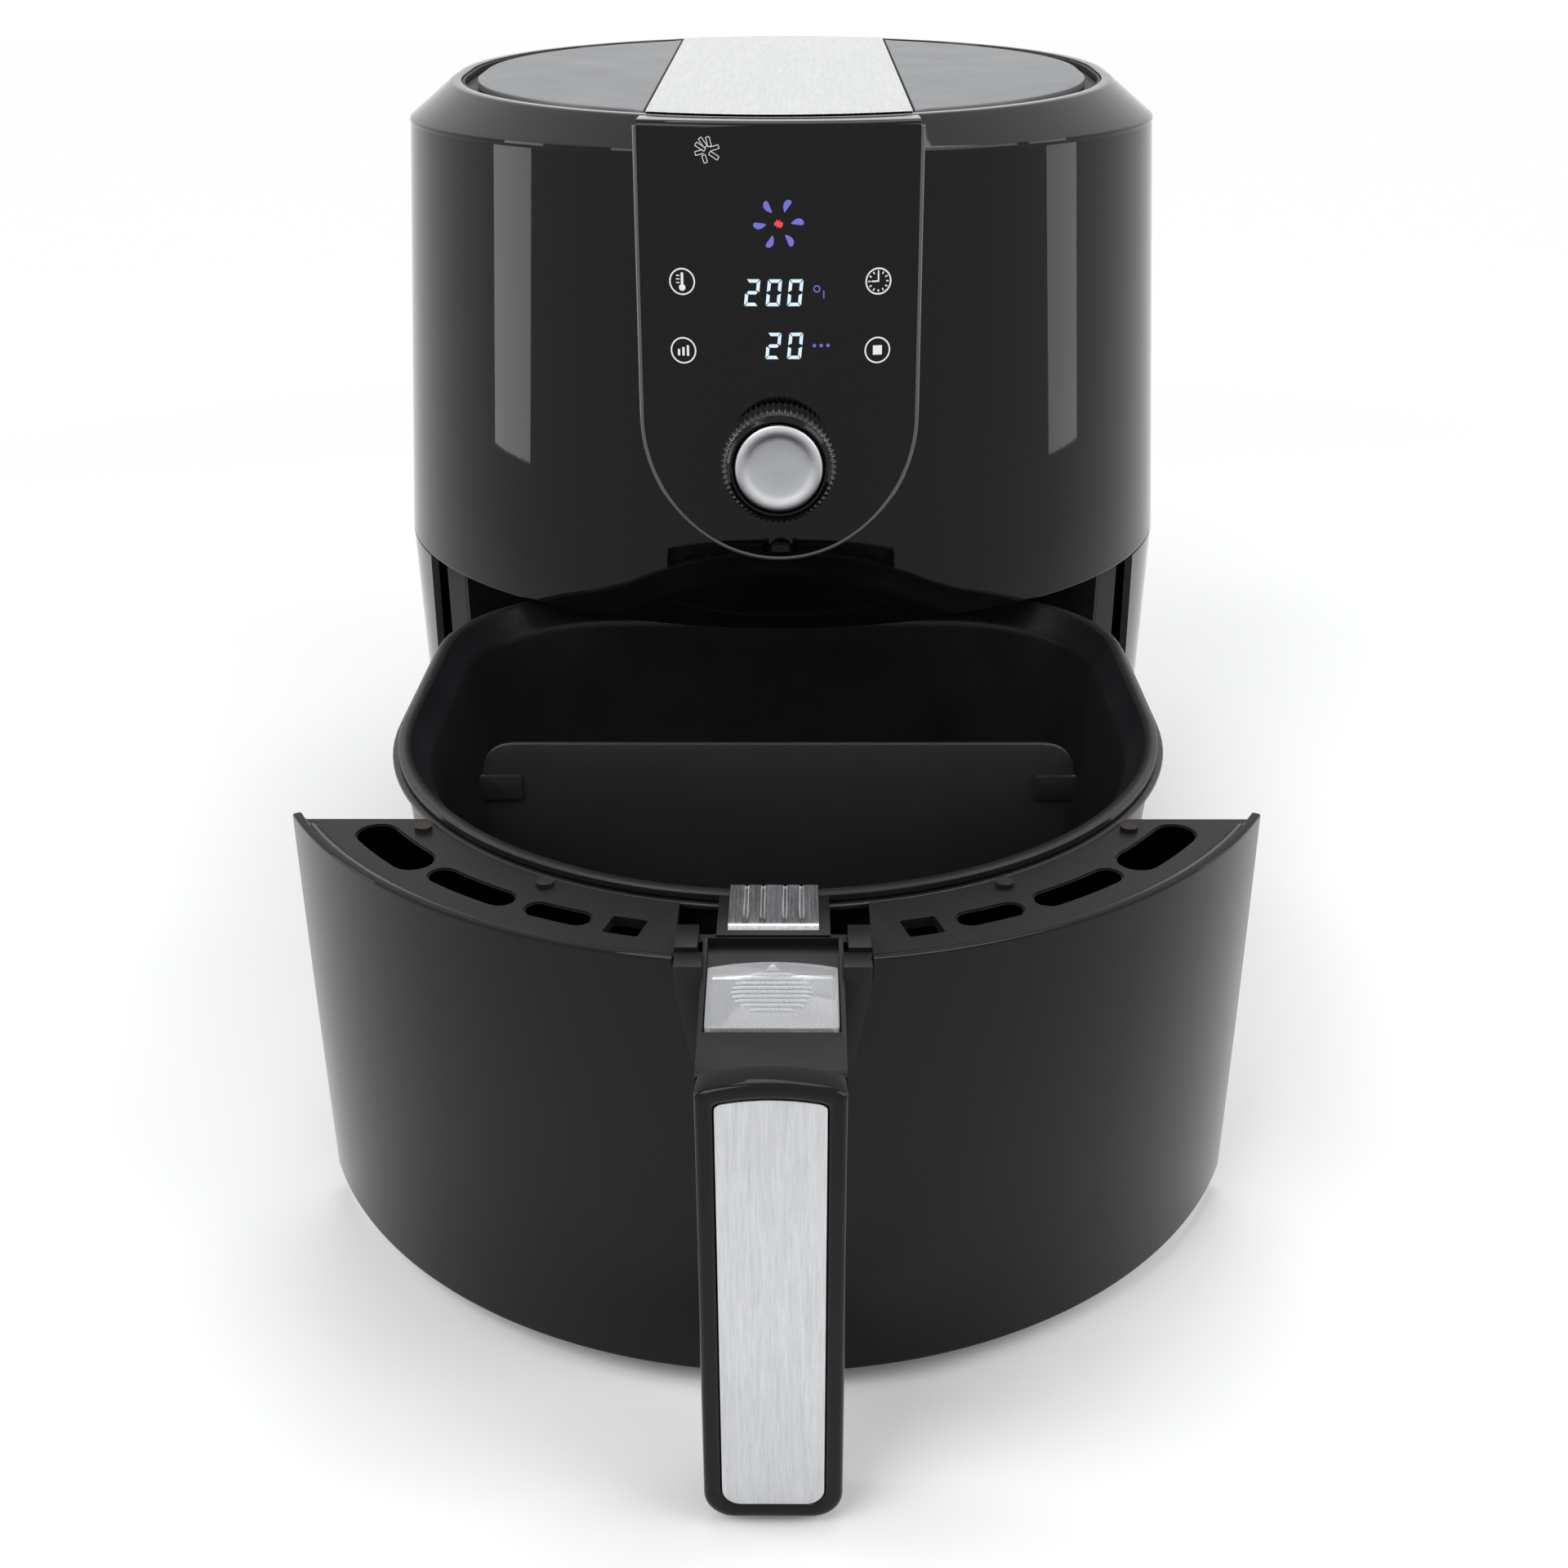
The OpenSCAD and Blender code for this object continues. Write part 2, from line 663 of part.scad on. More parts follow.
// Blades on a hub: n flat blades at an angle, and a ring or a disc that joins them.
module blades(n, r, h, hub, pitch) {
    for (i = [0 : n - 1]) rotate(i * 360 / n)
        translate([hub - 1, 0, 0]) rotate([pitch, 0, 0]) translate([0, -0.6, -h / 2]) cube([r - hub + 1, 1.2, h]);
}

// Hot fan: a disc with standing blades under it.
module hot_fan() {
    color("#b9bbbd") difference() {
        translate([0, 0, fan_z]) union() {
            translate([0, 0, 8]) cylinder(r = hot_fan_r, h = 1.2);
            translate([0, 0, -2]) cylinder(r = 9, h = 11);
            translate([0, 0, 1.5]) blades(12, hot_fan_r - 2, 14, 8, 0);
        }
        translate([0, 0, fan_z - 10]) cylinder(r = shaft_r, h = 30);
        translate([0, 0, fan_z - 30]) cylinder(r = hot_fan_r + 5, h = 26.5);
    }
}

// Cooling fan: moulded, with pitched blades, above the dome.
module cooling_fan() {
    z = (dome_top_z + bridge_z) / 2 - 0.5;
    color("#3a3b3e") difference() {
        translate([0, 0, z]) union() {
            cylinder(r = 11, h = 8, center = true);
            blades(9, cool_fan_r, 8, 10, 38);
        }
        translate([0, 0, z - 10]) cylinder(r = shaft_r, h = 30);
    }
}

// Thermal cut-out on the dome's shoulder.
module thermal_cutout() {
    color("#d9d2c0") translate([-dome_r - 18, 30, liner_top_z]) {
        cylinder(r = 8, h = 7);
        translate([-12, -3, 0]) cube([24, 6, 1.2]);
        for (s = [-1, 1]) translate([s * 4 - 0.4, -2.5, 7 - eps]) cube([0.8, 5, 7]);
    }
}

// Power board upright at the back of the housing.
module power_board() {
    color("#28563a") {
        translate([-52, power_y, liner_top_z]) cube([104, 1.6, 78]);
        for (s = [-1, 1]) translate([s * 46 - 4, power_y - 12, liner_top_z]) cube([8, 12, 3]);
    }
}

// Parts on the power board: relay, capacitor, transformer and terminals.
module power_parts() {
    y = power_y;
    color("#2f3136") {
        translate([-44, y - 20, liner_top_z + 12]) cube([26, 20, 22]);
        translate([-8, y - 22, liner_top_z + 10]) cube([34, 22, 28]);
        translate([38, y, liner_top_z + 20]) rotate([90, 0, 0]) cylinder(r = 8, h = 24);
        translate([-40, y - 12, liner_top_z + 46]) cube([50, 12, 14]);
        translate([28, y - 10, liner_top_z + 44]) cube([16, 10, 22]);
    }
}

// Louvred grille in the rear shell.
module rear_grille() {
    r = body_at(271);
    color("#101113") difference() {
        intersection() {
            layer_above(205.3, 270.7);
            translate([-37.7, 60, 200]) cube([75.4, 200, 80]);
        }
        for (i = [0 : 7]) translate([-33, 60, 209.5 + i * 7.4]) cube([66, 200, 3.6]);
    }
}

// Flanged gland for the mains lead in the rear shell.
module cord_gland() {
    y = sqrt(pow(body_at(40), 2) - 95 * 95);
    color("#151516") translate([95, y, 40]) rotate([-90, 0, 0]) difference() {
        union() {
            translate([0, 0, -16]) cylinder(r = 8, h = 28);
            translate([0, 0, 7.2]) cylinder(r1 = 11, r2 = 9.6, h = 4.8);
            translate([0, 0, -16]) cylinder(r = 10.4, h = 3);
        }
        translate([0, 0, -20]) cylinder(r = 4, h = 60);
    }
}

// Micro switch on the rear wall of the guide frame.
module door_switch() {
    color("#2b2b2d") difference() {
        translate([switch_x - 10, frame_back_y + 2.4, 96]) cube([20, 10, 12]);
        translate([switch_x, frame_back_y - 5, 102]) rotate([-90, 0, 0]) cylinder(r = 2.05, h = 13);
    }
}

// Plunger of the switch, through the frame's rear wall.
module switch_plunger() {
    color("#b23a2a") translate([switch_x, frame_back_y - 3.4, 102]) rotate([-90, 0, 0]) {
        cylinder(r = 2, h = 9);
    }
}

// ---- drawer ----

// Coated pan with drafted walls and a narrow rim.
module pan() {
    color("#26272b") drawn() {
        difference() {
            hull() {
                pan_slab(pan_bottom_z, -pan_draft, $fn = 64);
                pan_slab(pan_rim_z - 0.1, 0, $fn = 64);
            }
            hull() {
                pan_slab(pan_bottom_z + pan_wall, -pan_draft - pan_wall, $fn = 64);
                pan_slab(pan_rim_z, -pan_wall, $fn = 64);
            }
        }
        translate([0, 0, pan_rim_z - 1.6]) linear_extrude(1.6) difference() {
            pan_outline(rim_out, $fn = 64);
            pan_outline(-0.4, $fn = 64);
        }
    }
}

// Gloss drawer front with a notch for the handle bracket.
module drawer_fascia() {
    color("#17181b") drawn() difference() {
        layer_below(skirt_z, fascia_top_z);
        behind_front();
        along_y(-300, -100) notch_outline(0.4);
    }
}

// Outline of the deck between the drawer front and the pan.
module deck_outline() {
    difference() {
        plan(min(body_at(deck_z), body_at(deck_z - 3)) - wall - 0.2);
        pan_outline(rim_out + 0.4);
        translate([-300, fascia_end_y + 3]) square([600, 600]);
        translate([-notch_hw - 0.4, -300]) square([2 * notch_hw + 0.8, 300 - front_len - pan_hw - 4]);
    }
}

// A slot that follows the deck's curve between two angles.
module arc_slot(a, b, r, w) {
    for (s = [-1, 1]) translate([0, -front_len]) {
        intersection() {
            difference() {
                circle(r + w / 2);
                circle(r - w / 2);
            }
            polygon([
                [0, 0], [s * 300 * sin(a), -300 * cos(a)], [s * 300 * sin(b), -300 * cos(b)]
            ]);
        }
        for (q = [a, b]) translate([s * r * sin(q), -r * cos(q)]) circle(w / 2 - 0.05);
    }
}

// Matt deck with its cooling slots and pockets.
module fascia_deck() {
    r = (pan_hw + rim_out + body_at(deck_z) - wall) / 2 + 0.5;
    color("#303136") drawn() translate([0, 0, deck_z - 3]) linear_extrude(3) difference() {
        deck_outline();
        arc_slot(46, 54.5, r, 12);
        arc_slot(31.5, 40.5, r, 8);
        arc_slot(21.5, 26.5, r, 7);
        for (s = [-1, 1]) translate([0, -front_len]) rotate(s * 16) translate([0, -r])
            square([10, 9], center = true);
    }
}

// Slim bevelled lip along the top of the drawer front.
module fascia_trim() {
    color("#4c4d52") drawn() translate([0, 0, deck_z]) linear_extrude(2.4) difference() {
        plan(body_at(deck_z) - wall - 0.2);
        plan(body_at(deck_z) - wall - 3.4);
        translate([-300, fascia_end_y + 3]) square([600, 600]);
        translate([-notch_hw - 0.4, -300]) square([2 * notch_hw + 0.8, 300]);
    }
}

// Screws that fix the deck to bosses on the pan's rim.
module deck_screws() {
    r = pan_hw + rim_out + 5;
    end = acos((4 - fascia_end_y - front_len) / r);
    color("#8e9093") drawn() for (a = [-end, -29, 29, end]) translate([0, -front_len, 0])
        translate([r * sin(a), -r * cos(a), deck_z]) cylinder(r = 2.6, h = 1.4);
}

// ---- basket ----

// Coated basket wall with a flared rim that rests on the pan's rim.
module basket() {
    low = basket_hw - pan_hw - 8;
    neck = basket_hw - pan_hw;
    color("#232428") drawn() {
        difference() {
            hull() {
                pan_slab(basket_bottom_z, low, $fn = 64);
                pan_slab(basket_neck_z, neck, $fn = 64);
            }
            hull() {
                pan_slab(basket_bottom_z - 0.2, low - basket_wall, $fn = 64);
                pan_slab(basket_neck_z + 0.2, neck - basket_wall, $fn = 64);
            }
        }
        difference() {
            hull() {
                pan_slab(basket_neck_z, neck, $fn = 64);
                pan_slab(pan_rim_z + 0.3, -pan_wall - 0.6, $fn = 64);
            }
            hull() {
                pan_slab(basket_neck_z - 0.2, neck - basket_wall, $fn = 64);
                pan_slab(pan_rim_z + 0.4, -pan_wall - 0.6 - basket_wall, $fn = 64);
            }
        }
        translate([0, 0, pan_rim_z + 0.3]) linear_extrude(2.6) difference() {
            pan_outline(1.2, $fn = 64);
            pan_outline(-pan_wall - 0.6 - basket_wall, $fn = 64);
        }
    }
}

// Perforated floor of the basket.
module basket_floor_plate() {
    o = basket_hw - pan_hw - 8 - basket_wall - 0.1;
    n = floor(95 / hole_pitch);
    color("#202125") drawn() translate([0, 0, basket_bottom_z]) linear_extrude(1.4) difference() {
        pan_outline(o);
        for (i = [-n : n], j = [-n - 1 : n])
            if (norm([i, j + 0.5]) * hole_pitch < 92 && abs(j * hole_pitch - 12 - divider_y) > 5)
                translate([i * hole_pitch, j * hole_pitch - 12]) circle(d = hole_d, $fn = 24);
    }
}

// Matt divider plate across the basket, standing on the floor.
module divider_plate() {
    zt = basket_neck_z + 2;
    zb = basket_bottom_z + 1.4;
    color("#2b2c30") drawn() along_y(divider_y - divider_t / 2, divider_y + divider_t / 2) union() {
        translate([-divider_hw, zb]) square([2 * divider_hw, zt - zb - 9]);
        for (s = [-1, 1]) translate([s * (divider_hw - 9), zt - 9]) circle(9);
        translate([-(divider_hw - 9), zt - 12]) square([2 * (divider_hw - 9), 12]);
    }
}

// Clips folded over the divider's side edges.
module divider_clips() {
    color("#3a3b40") drawn() for (s = [-1, 1])
        translate([s * (divider_hw - 6) - 7, divider_y - divider_t / 2 - 1.4, basket_neck_z - 18])
            cube([14, 1.4, 9]);
}

// Stainless clip from the basket's rim to the handle bracket, with four pressed grooves.
module basket_clip() {
    ya = slope_y + 14.3;
    yb = -(front_len + pan_hw) + 2.4;
    z = basket_rim_z + 0.1;
    color("#c4c6c8") drawn() difference() {
        union() {
            translate([-12, ya, z]) cube([24, yb - ya, 1.2]);
            translate([-12, ya, z - 1.3]) cube([24, 1.2, 1.5]);
        }
        for (x = [-7.5, -3, 3, 7.5]) translate([x, ya - 1, z + 1.9]) rotate([-90, 0, 0])
            cylinder(r = 1.1, h = yb - ya - 3, $fn = 24);
    }
}

// ---- handle ----

// Matt bracket that fills the notch and carries the handle, the cover and the button.
module handle_bracket() {
    color("#2d2e32") drawn() difference() {
        union() {
            along_y(front_y - 2, front_y + 6) intersection() {
                notch_outline(0);
                translate([-100, 0]) square([200, fascia_top_z]);
            }
            rotate([90, 0, 90]) translate([0, 0, -arm_hw]) linear_extrude(2 * arm_hw) polygon([
                [slope_y + 10, fascia_top_z - 14], [slope_y + 10, slope_z + 10 * tan(slope)],
                [grip_y + 8, slope_z - (slope_y - grip_y - 8) * tan(slope)], [grip_y + 8, notch_z],
                [front_y + 4, notch_z], [front_y + 4, fascia_top_z - 14]
            ]);
            // cross bar and the two ears behind it
            translate([-notch_hw, slope_y + 10 - eps, fascia_top_z - 9]) cube([2 * notch_hw, 4, 7]);
            for (s = [-1, 1]) translate([s * (notch_hw - 3) - 3, slope_y + 2, fascia_top_z - 9])
                cube([6, 12, 10]);
            // tongue over the pan's rim to the basket
            translate([-15, slope_y + 12, deck_z + 0.1])
                cube([30, -(front_len + pan_hw) - 1.6 - slope_y - 12, basket_rim_z - deck_z - 0.1]);
        }
        // groove for the turned-down edge of the basket clip
        translate([-12.3, slope_y + 14, basket_rim_z - 1.3]) cube([24.6, 1.8, 3]);
        // recess of the release cover, and the pocket of the button in it
        on_slope() translate([-cover_hw() - 0.4, -cover_len - 1.4, -3])
            cube([2 * cover_hw() + 0.8, cover_len + 1.4 + cover_travel + 0.6, 10]);
        on_slope() translate([-11.4, 0.2 - cover_len, -9]) cube([22.8, 13.8, 10]);
        // holes of the handle screws
        for (z = screw_heights()) translate([0, grip_y + 7, z]) rotate([-90, 0, 0]) cylinder(r = 2, h = 12);
    }
}

function cover_hw() = arm_hw - 1.6;
function screw_heights() = [notch_z + 5, notch_z + 10];

// Soft-touch rear half of the grip.
module handle_core() {
    color("#26272a") drawn() difference() {
        union() {
            along_y(grip_y + 8, grip_y + grip_t) intersection() {
                grip_outline(0.8);
                translate([-100, 0]) square([200, notch_z - 0.2]);
            }
        }
        along_y(grip_y + 8 - 1, grip_y + 8 + 3) intersection() {
            grip_outline(4);
            translate([-100, 20]) square([200, notch_z - 40]);
        }
    }
}

// Gloss frame of the grip, with the recess of the steel inlay.
module handle_bezel() {
    color("#141416") drawn() difference() {
        along_y(grip_y, grip_y + 7.8) grip_outline(0);
        along_y(grip_y - 1, grip_y + 1.6) grip_outline(grip_frame);
        for (z = screw_heights()) translate([0, grip_y + 3, z]) rotate([-90, 0, 0]) cylinder(r = 1.9, h = 12);
    }
}

// Brushed steel inlay.
module handle_inlay() {
    color("#b9bbbd") drawn() along_y(grip_y + 0.4, grip_y + 1.5) grip_outline(grip_frame + 0.15);
}

// Screws that fix the grip to the bracket.
module handle_screws() {
    color("#9a9c9e") drawn() for (z = screw_heights())
        translate([0, grip_y + 3.4, z]) rotate([-90, 0, 0]) cylinder(r = 1.8, h = 11);
}

// Clear sliding cover with an arched rear edge and a ridged oval grip.
module release_cover() {
    hw = cover_hw();
    len = cover_len;
    color([0.85, 0.88, 0.9, 0.6]) drawn() on_slope() translate([0, -0.4, 0]) union() {
        difference() {
            intersection() {
                translate([-hw, -len, -2.2]) cube([2 * hw, len, 2.6]);
                translate([0, -62, -3]) cylinder(r = 62, h = 8);
            }
            translate([-hw + 1.6, -len + 1.6, -2.3]) cube([2 * hw - 3.2, len - 6.5, 1.4]);
        }
        for (i = [0 : 8]) {
            y = -5.7 - i * 1.7;
            half = 10.4 * sqrt(max(0.1, 1 - pow((y + 12.5) / 8, 2)));
            translate([-half, y - 0.45, 0.4 - eps]) cube([2 * half, 0.9, 0.6]);
        }
    }
}

// Black release button under the cover.
module release_button() {
    color("#0d0d0f") drawn() on_slope() difference() {
        translate([-11, 0.6 - cover_len, -5.9]) cube([22, 13, 3.2]);
        translate([0, 7.1 - cover_len, -2.7 + 18]) rotate([0, 90, 0]) cylinder(r = 18.8, h = 18, center = true);
    }
}

upper_shell();
rear_shell();
top_cover();
top_groove();
top_panel();
steel_strip();
control_frame();
control_panel();
display_board();
display_block();
dial_encoder();
dial_ring();
dial_face();
push_cap();
cap_stem();
drawer_frame();
base_plate();
feet();
base_screws();
cooking_chamber();
heater_coil();
heater_guard();
heater_posts();
motor_bridge();
fan_motor();
fan_shaft();
hot_fan();
cooling_fan();
thermal_cutout();
power_board();
power_parts();
rear_grille();
cord_gland();
door_switch();
switch_plunger();
pan();
drawer_fascia();
fascia_deck();
fascia_trim();
deck_screws();
basket();
basket_floor_plate();
divider_plate();
divider_clips();
basket_clip();
handle_bracket();
handle_core();
handle_bezel();
handle_inlay();
handle_screws();
release_cover();
release_button();
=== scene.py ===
"""Hot-air fryer with a pull-out drawer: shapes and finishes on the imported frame."""
import math

import bpy
import bmesh
from mathutils import Matrix, Vector


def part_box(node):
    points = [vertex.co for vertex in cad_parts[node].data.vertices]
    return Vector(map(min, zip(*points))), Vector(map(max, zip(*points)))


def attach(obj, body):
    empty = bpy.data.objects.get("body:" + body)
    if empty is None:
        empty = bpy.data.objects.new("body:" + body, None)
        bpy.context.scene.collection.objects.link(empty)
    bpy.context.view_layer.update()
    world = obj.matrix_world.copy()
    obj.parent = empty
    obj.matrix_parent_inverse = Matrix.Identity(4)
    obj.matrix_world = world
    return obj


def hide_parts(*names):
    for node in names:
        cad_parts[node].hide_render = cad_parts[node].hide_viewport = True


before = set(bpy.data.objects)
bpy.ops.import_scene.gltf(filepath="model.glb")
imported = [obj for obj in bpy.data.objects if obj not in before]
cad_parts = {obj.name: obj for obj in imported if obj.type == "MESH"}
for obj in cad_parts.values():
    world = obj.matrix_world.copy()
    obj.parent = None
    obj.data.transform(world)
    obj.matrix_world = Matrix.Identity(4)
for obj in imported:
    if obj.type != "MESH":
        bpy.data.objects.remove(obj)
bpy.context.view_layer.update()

# ---- Camera ----
# It stands in front of the fryer and looks down on the open drawer. The fryer is turned by a
# third of a degree, which the camera takes up.

camera = bpy.data.objects.new("camera", bpy.data.cameras.new("camera"))
bpy.context.scene.collection.objects.link(camera)
bpy.context.scene.camera = camera
camera.data.sensor_width = 36
camera.data.lens = 42.37
camera.data.clip_start = 0.05
camera.data.clip_end = 30
camera.matrix_world = (
    Matrix.Translation((0.0057, -0.8244, 0.3881))
    @ Matrix.Rotation(math.radians(0.38), 4, "Z")
    @ Matrix.Rotation(math.radians(90 - 25.253), 4, "X")
    @ Matrix.Rotation(math.radians(-0.145), 4, "Z")
)
bpy.context.scene.view_settings.view_transform = "Standard"

# ---- Studio ----
# A white sweep under a plain sky, three large soft lamps, and a strip box on each side. Gloss, metal
# and glass show the same white sweep that the camera sees, and the lamps.


class Wire:
    """An output of a shader node. Sums, differences, products and powers of it add Math nodes."""

    def __init__(self, tree, socket=None):
        self.tree, self.socket = tree, socket

    def node(self, kind, out=0, settings=None, **sockets):
        """Adds a node: its settings come first, then a value or a Wire for each named socket."""
        made = self.tree.nodes.new("ShaderNode" + kind)
        for name, value in (settings or {}).items():
            if name == "stops":
                ramp = made.color_ramp
                while len(ramp.elements) < len(value):
                    ramp.elements.new(1.0)
                for element, (at, colour) in zip(ramp.elements, value):
                    element.position = at
                    element.color = (*colour, 1) if isinstance(colour, tuple) else (colour, colour, colour, 1)
            else:
                setattr(made, name, value)
        for name, value in sockets.items():
            name = name.replace("_", " ")
            socket = made.inputs[int(name[1:]) if name[0] == "i" and name[1:].isdigit() else name]
            if isinstance(value, Wire):
                self.tree.links.new(value.socket, socket)
            else:
                socket.default_value = value
        return Wire(self.tree, made.outputs[out])

    def math(self, operation, a, b=0.0, clamp=False):
        return self.node("Math", settings={"operation": operation, "use_clamp": clamp}, i0=a, i1=b)

    def __add__(self, other):
        return self.math("ADD", self, other)

    def __radd__(self, other):
        return self.math("ADD", other, self)

    def __sub__(self, other):
        return self.math("SUBTRACT", self, other)

    def __rsub__(self, other):
        return self.math("SUBTRACT", other, self)

    def __mul__(self, other):
        return self.math("MULTIPLY", self, other)

    def __rmul__(self, other):
        return self.math("MULTIPLY", other, self)

    def __truediv__(self, other):
        return self.math("DIVIDE", self, other)

    def __pow__(self, other):
        return self.math("POWER", self, other)

    def __gt__(self, other):
        return self.math("GREATER_THAN", self, other)

    def __lt__(self, other):
        return self.math("LESS_THAN", self, other)

    def mix(self, low, high):
        """A colour between low and high, by this value."""
        low, high = ((*c, 1) if isinstance(c, tuple) and len(c) == 3 else c for c in (low, high))
        return self.node("Mix", out=2, settings={"data_type": "RGBA"}, i0=self, i6=low, i7=high)

    def noise(self, scale, stretch=(1, 1, 1), detail=3.0, roughness=0.5):
        """Noise on these coordinates, about 0.5 on average."""
        spread = self.node("VectorMath", settings={"operation": "MULTIPLY"}, i0=self, i1=stretch)
        return self.node("TexNoise", out="Fac", Vector=spread, Scale=scale, Detail=detail,
            Roughness=roughness)


world = bpy.data.worlds.new("studio")
bpy.context.scene.world = world
world.use_nodes = True
world.node_tree.nodes.clear()
sky = Wire(world.node_tree)


def sees_sweep(tree):
    """1 for the rays that show the white sweep: the camera's, and those off gloss and through glass."""
    camera_ray, glossy_ray, glass_ray = (
        tree.node("LightPath", out=f"Is {kind} Ray") for kind in ("Camera", "Glossy", "Transmission"))
    return tree.math("MAXIMUM", tree.math("MAXIMUM", camera_ray, glossy_ray), glass_ray)


plain_light = sky.node("Background", Color=(0.98, 0.99, 1.0, 1), Strength=0.55)
backdrop_white = sky.node("Background", Color=(1, 1, 1, 1), Strength=1.0)
shown = sky.node("MixShader", i0=sees_sweep(sky), i1=plain_light, i2=backdrop_white)
sky.tree.links.new(shown.socket, sky.tree.nodes.new("ShaderNodeOutputWorld").inputs["Surface"])

for name, place, width, height, watts in (
    ("key_lamp", (-1.1, -1.5, 1.9), 1.3, 1.3, 22),
    ("fill_lamp", (1.5, -0.9, 1.3), 1.1, 1.1, 12),
    ("top_lamp", (0.1, 0.3, 2.0), 1.2, 1.2, 12),
    ("left_strip_box", (-1.1, -0.2, 0.42), 0.3, 0.8, 3.2),
    ("right_strip_box", (1.1, -0.1, 0.42), 0.25, 0.8, 1.8),
):
    lamp = bpy.data.objects.new(name, bpy.data.lights.new(name, "AREA"))
    bpy.context.scene.collection.objects.link(lamp)
    lamp.data.shape = "RECTANGLE"
    lamp.data.energy, lamp.data.size, lamp.data.size_y = watts, width, height
    lamp.location = place
    lamp.rotation_euler = (Vector((0, -0.12, 0.15)) - Vector(place)).to_track_quat("-Z", "Y").to_euler()
    lamp.visible_camera = False

floor_mesh = bpy.data.meshes.new("floor")
floor_mesh.from_pydata([(-6, -6, 0), (6, -6, 0), (6, 6, 0), (-6, 6, 0)], [], [(0, 1, 2, 3)])
floor = bpy.data.objects.new("floor", floor_mesh)
bpy.context.scene.collection.objects.link(floor)
sweep_paper = bpy.data.materials.new("white_sweep")
sweep_paper.use_nodes = True
sweep_paper.node_tree.nodes.clear()
paper = Wire(sweep_paper.node_tree)
dull = paper.node("BsdfDiffuse", Color=(0.93, 0.93, 0.93, 1))
glow = paper.node("Emission", Color=(1, 1, 1, 1), Strength=1.0)
fibres = paper.node("TexCoord", out="Object").noise(2.0)
far = paper.node("MapRange", Value=paper.node("VectorMath", out="Value", settings={"operation": "LENGTH"},
                 i0=paper.node("TexCoord", out="Object")), From_Min=0.45, From_Max=0.95)
surface = paper.node("MixShader", i0=sees_sweep(paper) * (far * 0.98 + 0.01 * fibres), i1=dull, i2=glow)
paper.tree.links.new(surface.socket, paper.tree.nodes.new("ShaderNodeOutputMaterial").inputs["Surface"])
floor.data.materials.append(sweep_paper)

# ---- Front shell ----
# The upper front of the housing is one injection-moulded part in black ABS, polished to a piano
# gloss. It hooks to the rear shell along a vertical seam on each side.

FRONT_LEN = 20.0  # the front is drawn out by this much, in millimetres, like all lengths here


def corners(node):
    """A CAD node's lowest and highest corner, in millimetres."""
    return [[v * 1000 for v in corner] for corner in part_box(node)]


def gloss(name, colour, orange_peel=0.006, rough=0.028, specular=0.2):
    """Polished moulded plastic: faint orange peel, and a film of fine wiping marks."""
    made, skin, bsdf = blank(name)
    at = skin.node("TexCoord", out="Object")
    wipes = at.noise(45, (1, 1, 0.25), 5, 0.62)
    dust = at.noise(900, (1, 1, 1), 2) > 0.74
    film = skin.node("MapRange", Value=wipes, From_Min=0.35, From_Max=0.75, To_Min=rough * 0.75,
        To_Max=rough * 1.6)
    peel = skin.node("Bump", Height=at.noise(260, (1, 1, 1), 2), Strength=orange_peel, Distance=0.0004)
    finish(bsdf, Base_Color=(dust * 0.35).mix(colour, tuple(c * 2 + 0.004 for c in colour)),
           Roughness=film + dust * 0.05, Normal=peel, Specular_IOR_Level=specular, IOR=1.5)
    return made


def blank(name):
    """A new material, its tree as a Wire, and its Principled node."""
    made = bpy.data.materials.new(name)
    made.use_nodes = True
    bsdf = made.node_tree.nodes["Principled BSDF"]
    return made, Wire(made.node_tree), bsdf


def finish(bsdf, **sockets):
    """Sets the Principled node's sockets, from plain values or from Wires."""
    for name, value in sockets.items():
        socket = bsdf.inputs[name.replace("_", " ")]
        if isinstance(value, Wire):
            value.tree.links.new(value.socket, socket)
        elif isinstance(value, tuple) and len(value) == 3 and socket.type == "RGBA":
            socket.default_value = (*value, 1)
        else:
            socket.default_value = value


def piece(name, points, faces, material, body, stands_for=(), sharp=38):
    """A piece from points in millimetres. It rides on a body and stands for CAD nodes."""
    mesh = bpy.data.meshes.new(name)
    mesh.from_pydata([Vector(p) * 0.001 for p in points], [], faces)
    mesh.validate()
    tidy = bmesh.new()
    tidy.from_mesh(mesh)
    bmesh.ops.remove_doubles(tidy, verts=tidy.verts, dist=1e-7)
    bmesh.ops.recalc_face_normals(tidy, faces=tidy.faces)
    tidy.to_mesh(mesh)
    tidy.free()
    mesh.shade_smooth()
    mesh.set_sharp_from_angle(angle=math.radians(sharp))
    made = bpy.data.objects.new(name, mesh)
    bpy.context.scene.collection.objects.link(made)
    mesh.materials.append(material)
    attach(made, body)
    if stands_for:
        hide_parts(*stands_for)
    return made


def rounded(outline, radius, steps=3):
    """A closed outline with each corner rounded; radius is one number or one for each corner."""
    out, count = [], len(outline)
    for i, corner in enumerate(outline):
        r = radius[i] if isinstance(radius, (list, tuple)) else radius
        here, before, after = Vector(corner), Vector(outline[i - 1]), Vector(outline[(i + 1) % count])
        u, v = before - here, after - here
        cut = min(r, 0.49 * u.length, 0.49 * v.length)
        if cut < 1e-4:
            out.append(tuple(here))
            continue
        a, b = here + u.normalized() * cut, here + v.normalized() * cut
        for k in range(steps + 1):
            t = k / steps
            out.append(tuple((1 - t) ** 2 * a + 2 * t * (1 - t) * here + t ** 2 * b))
    return out


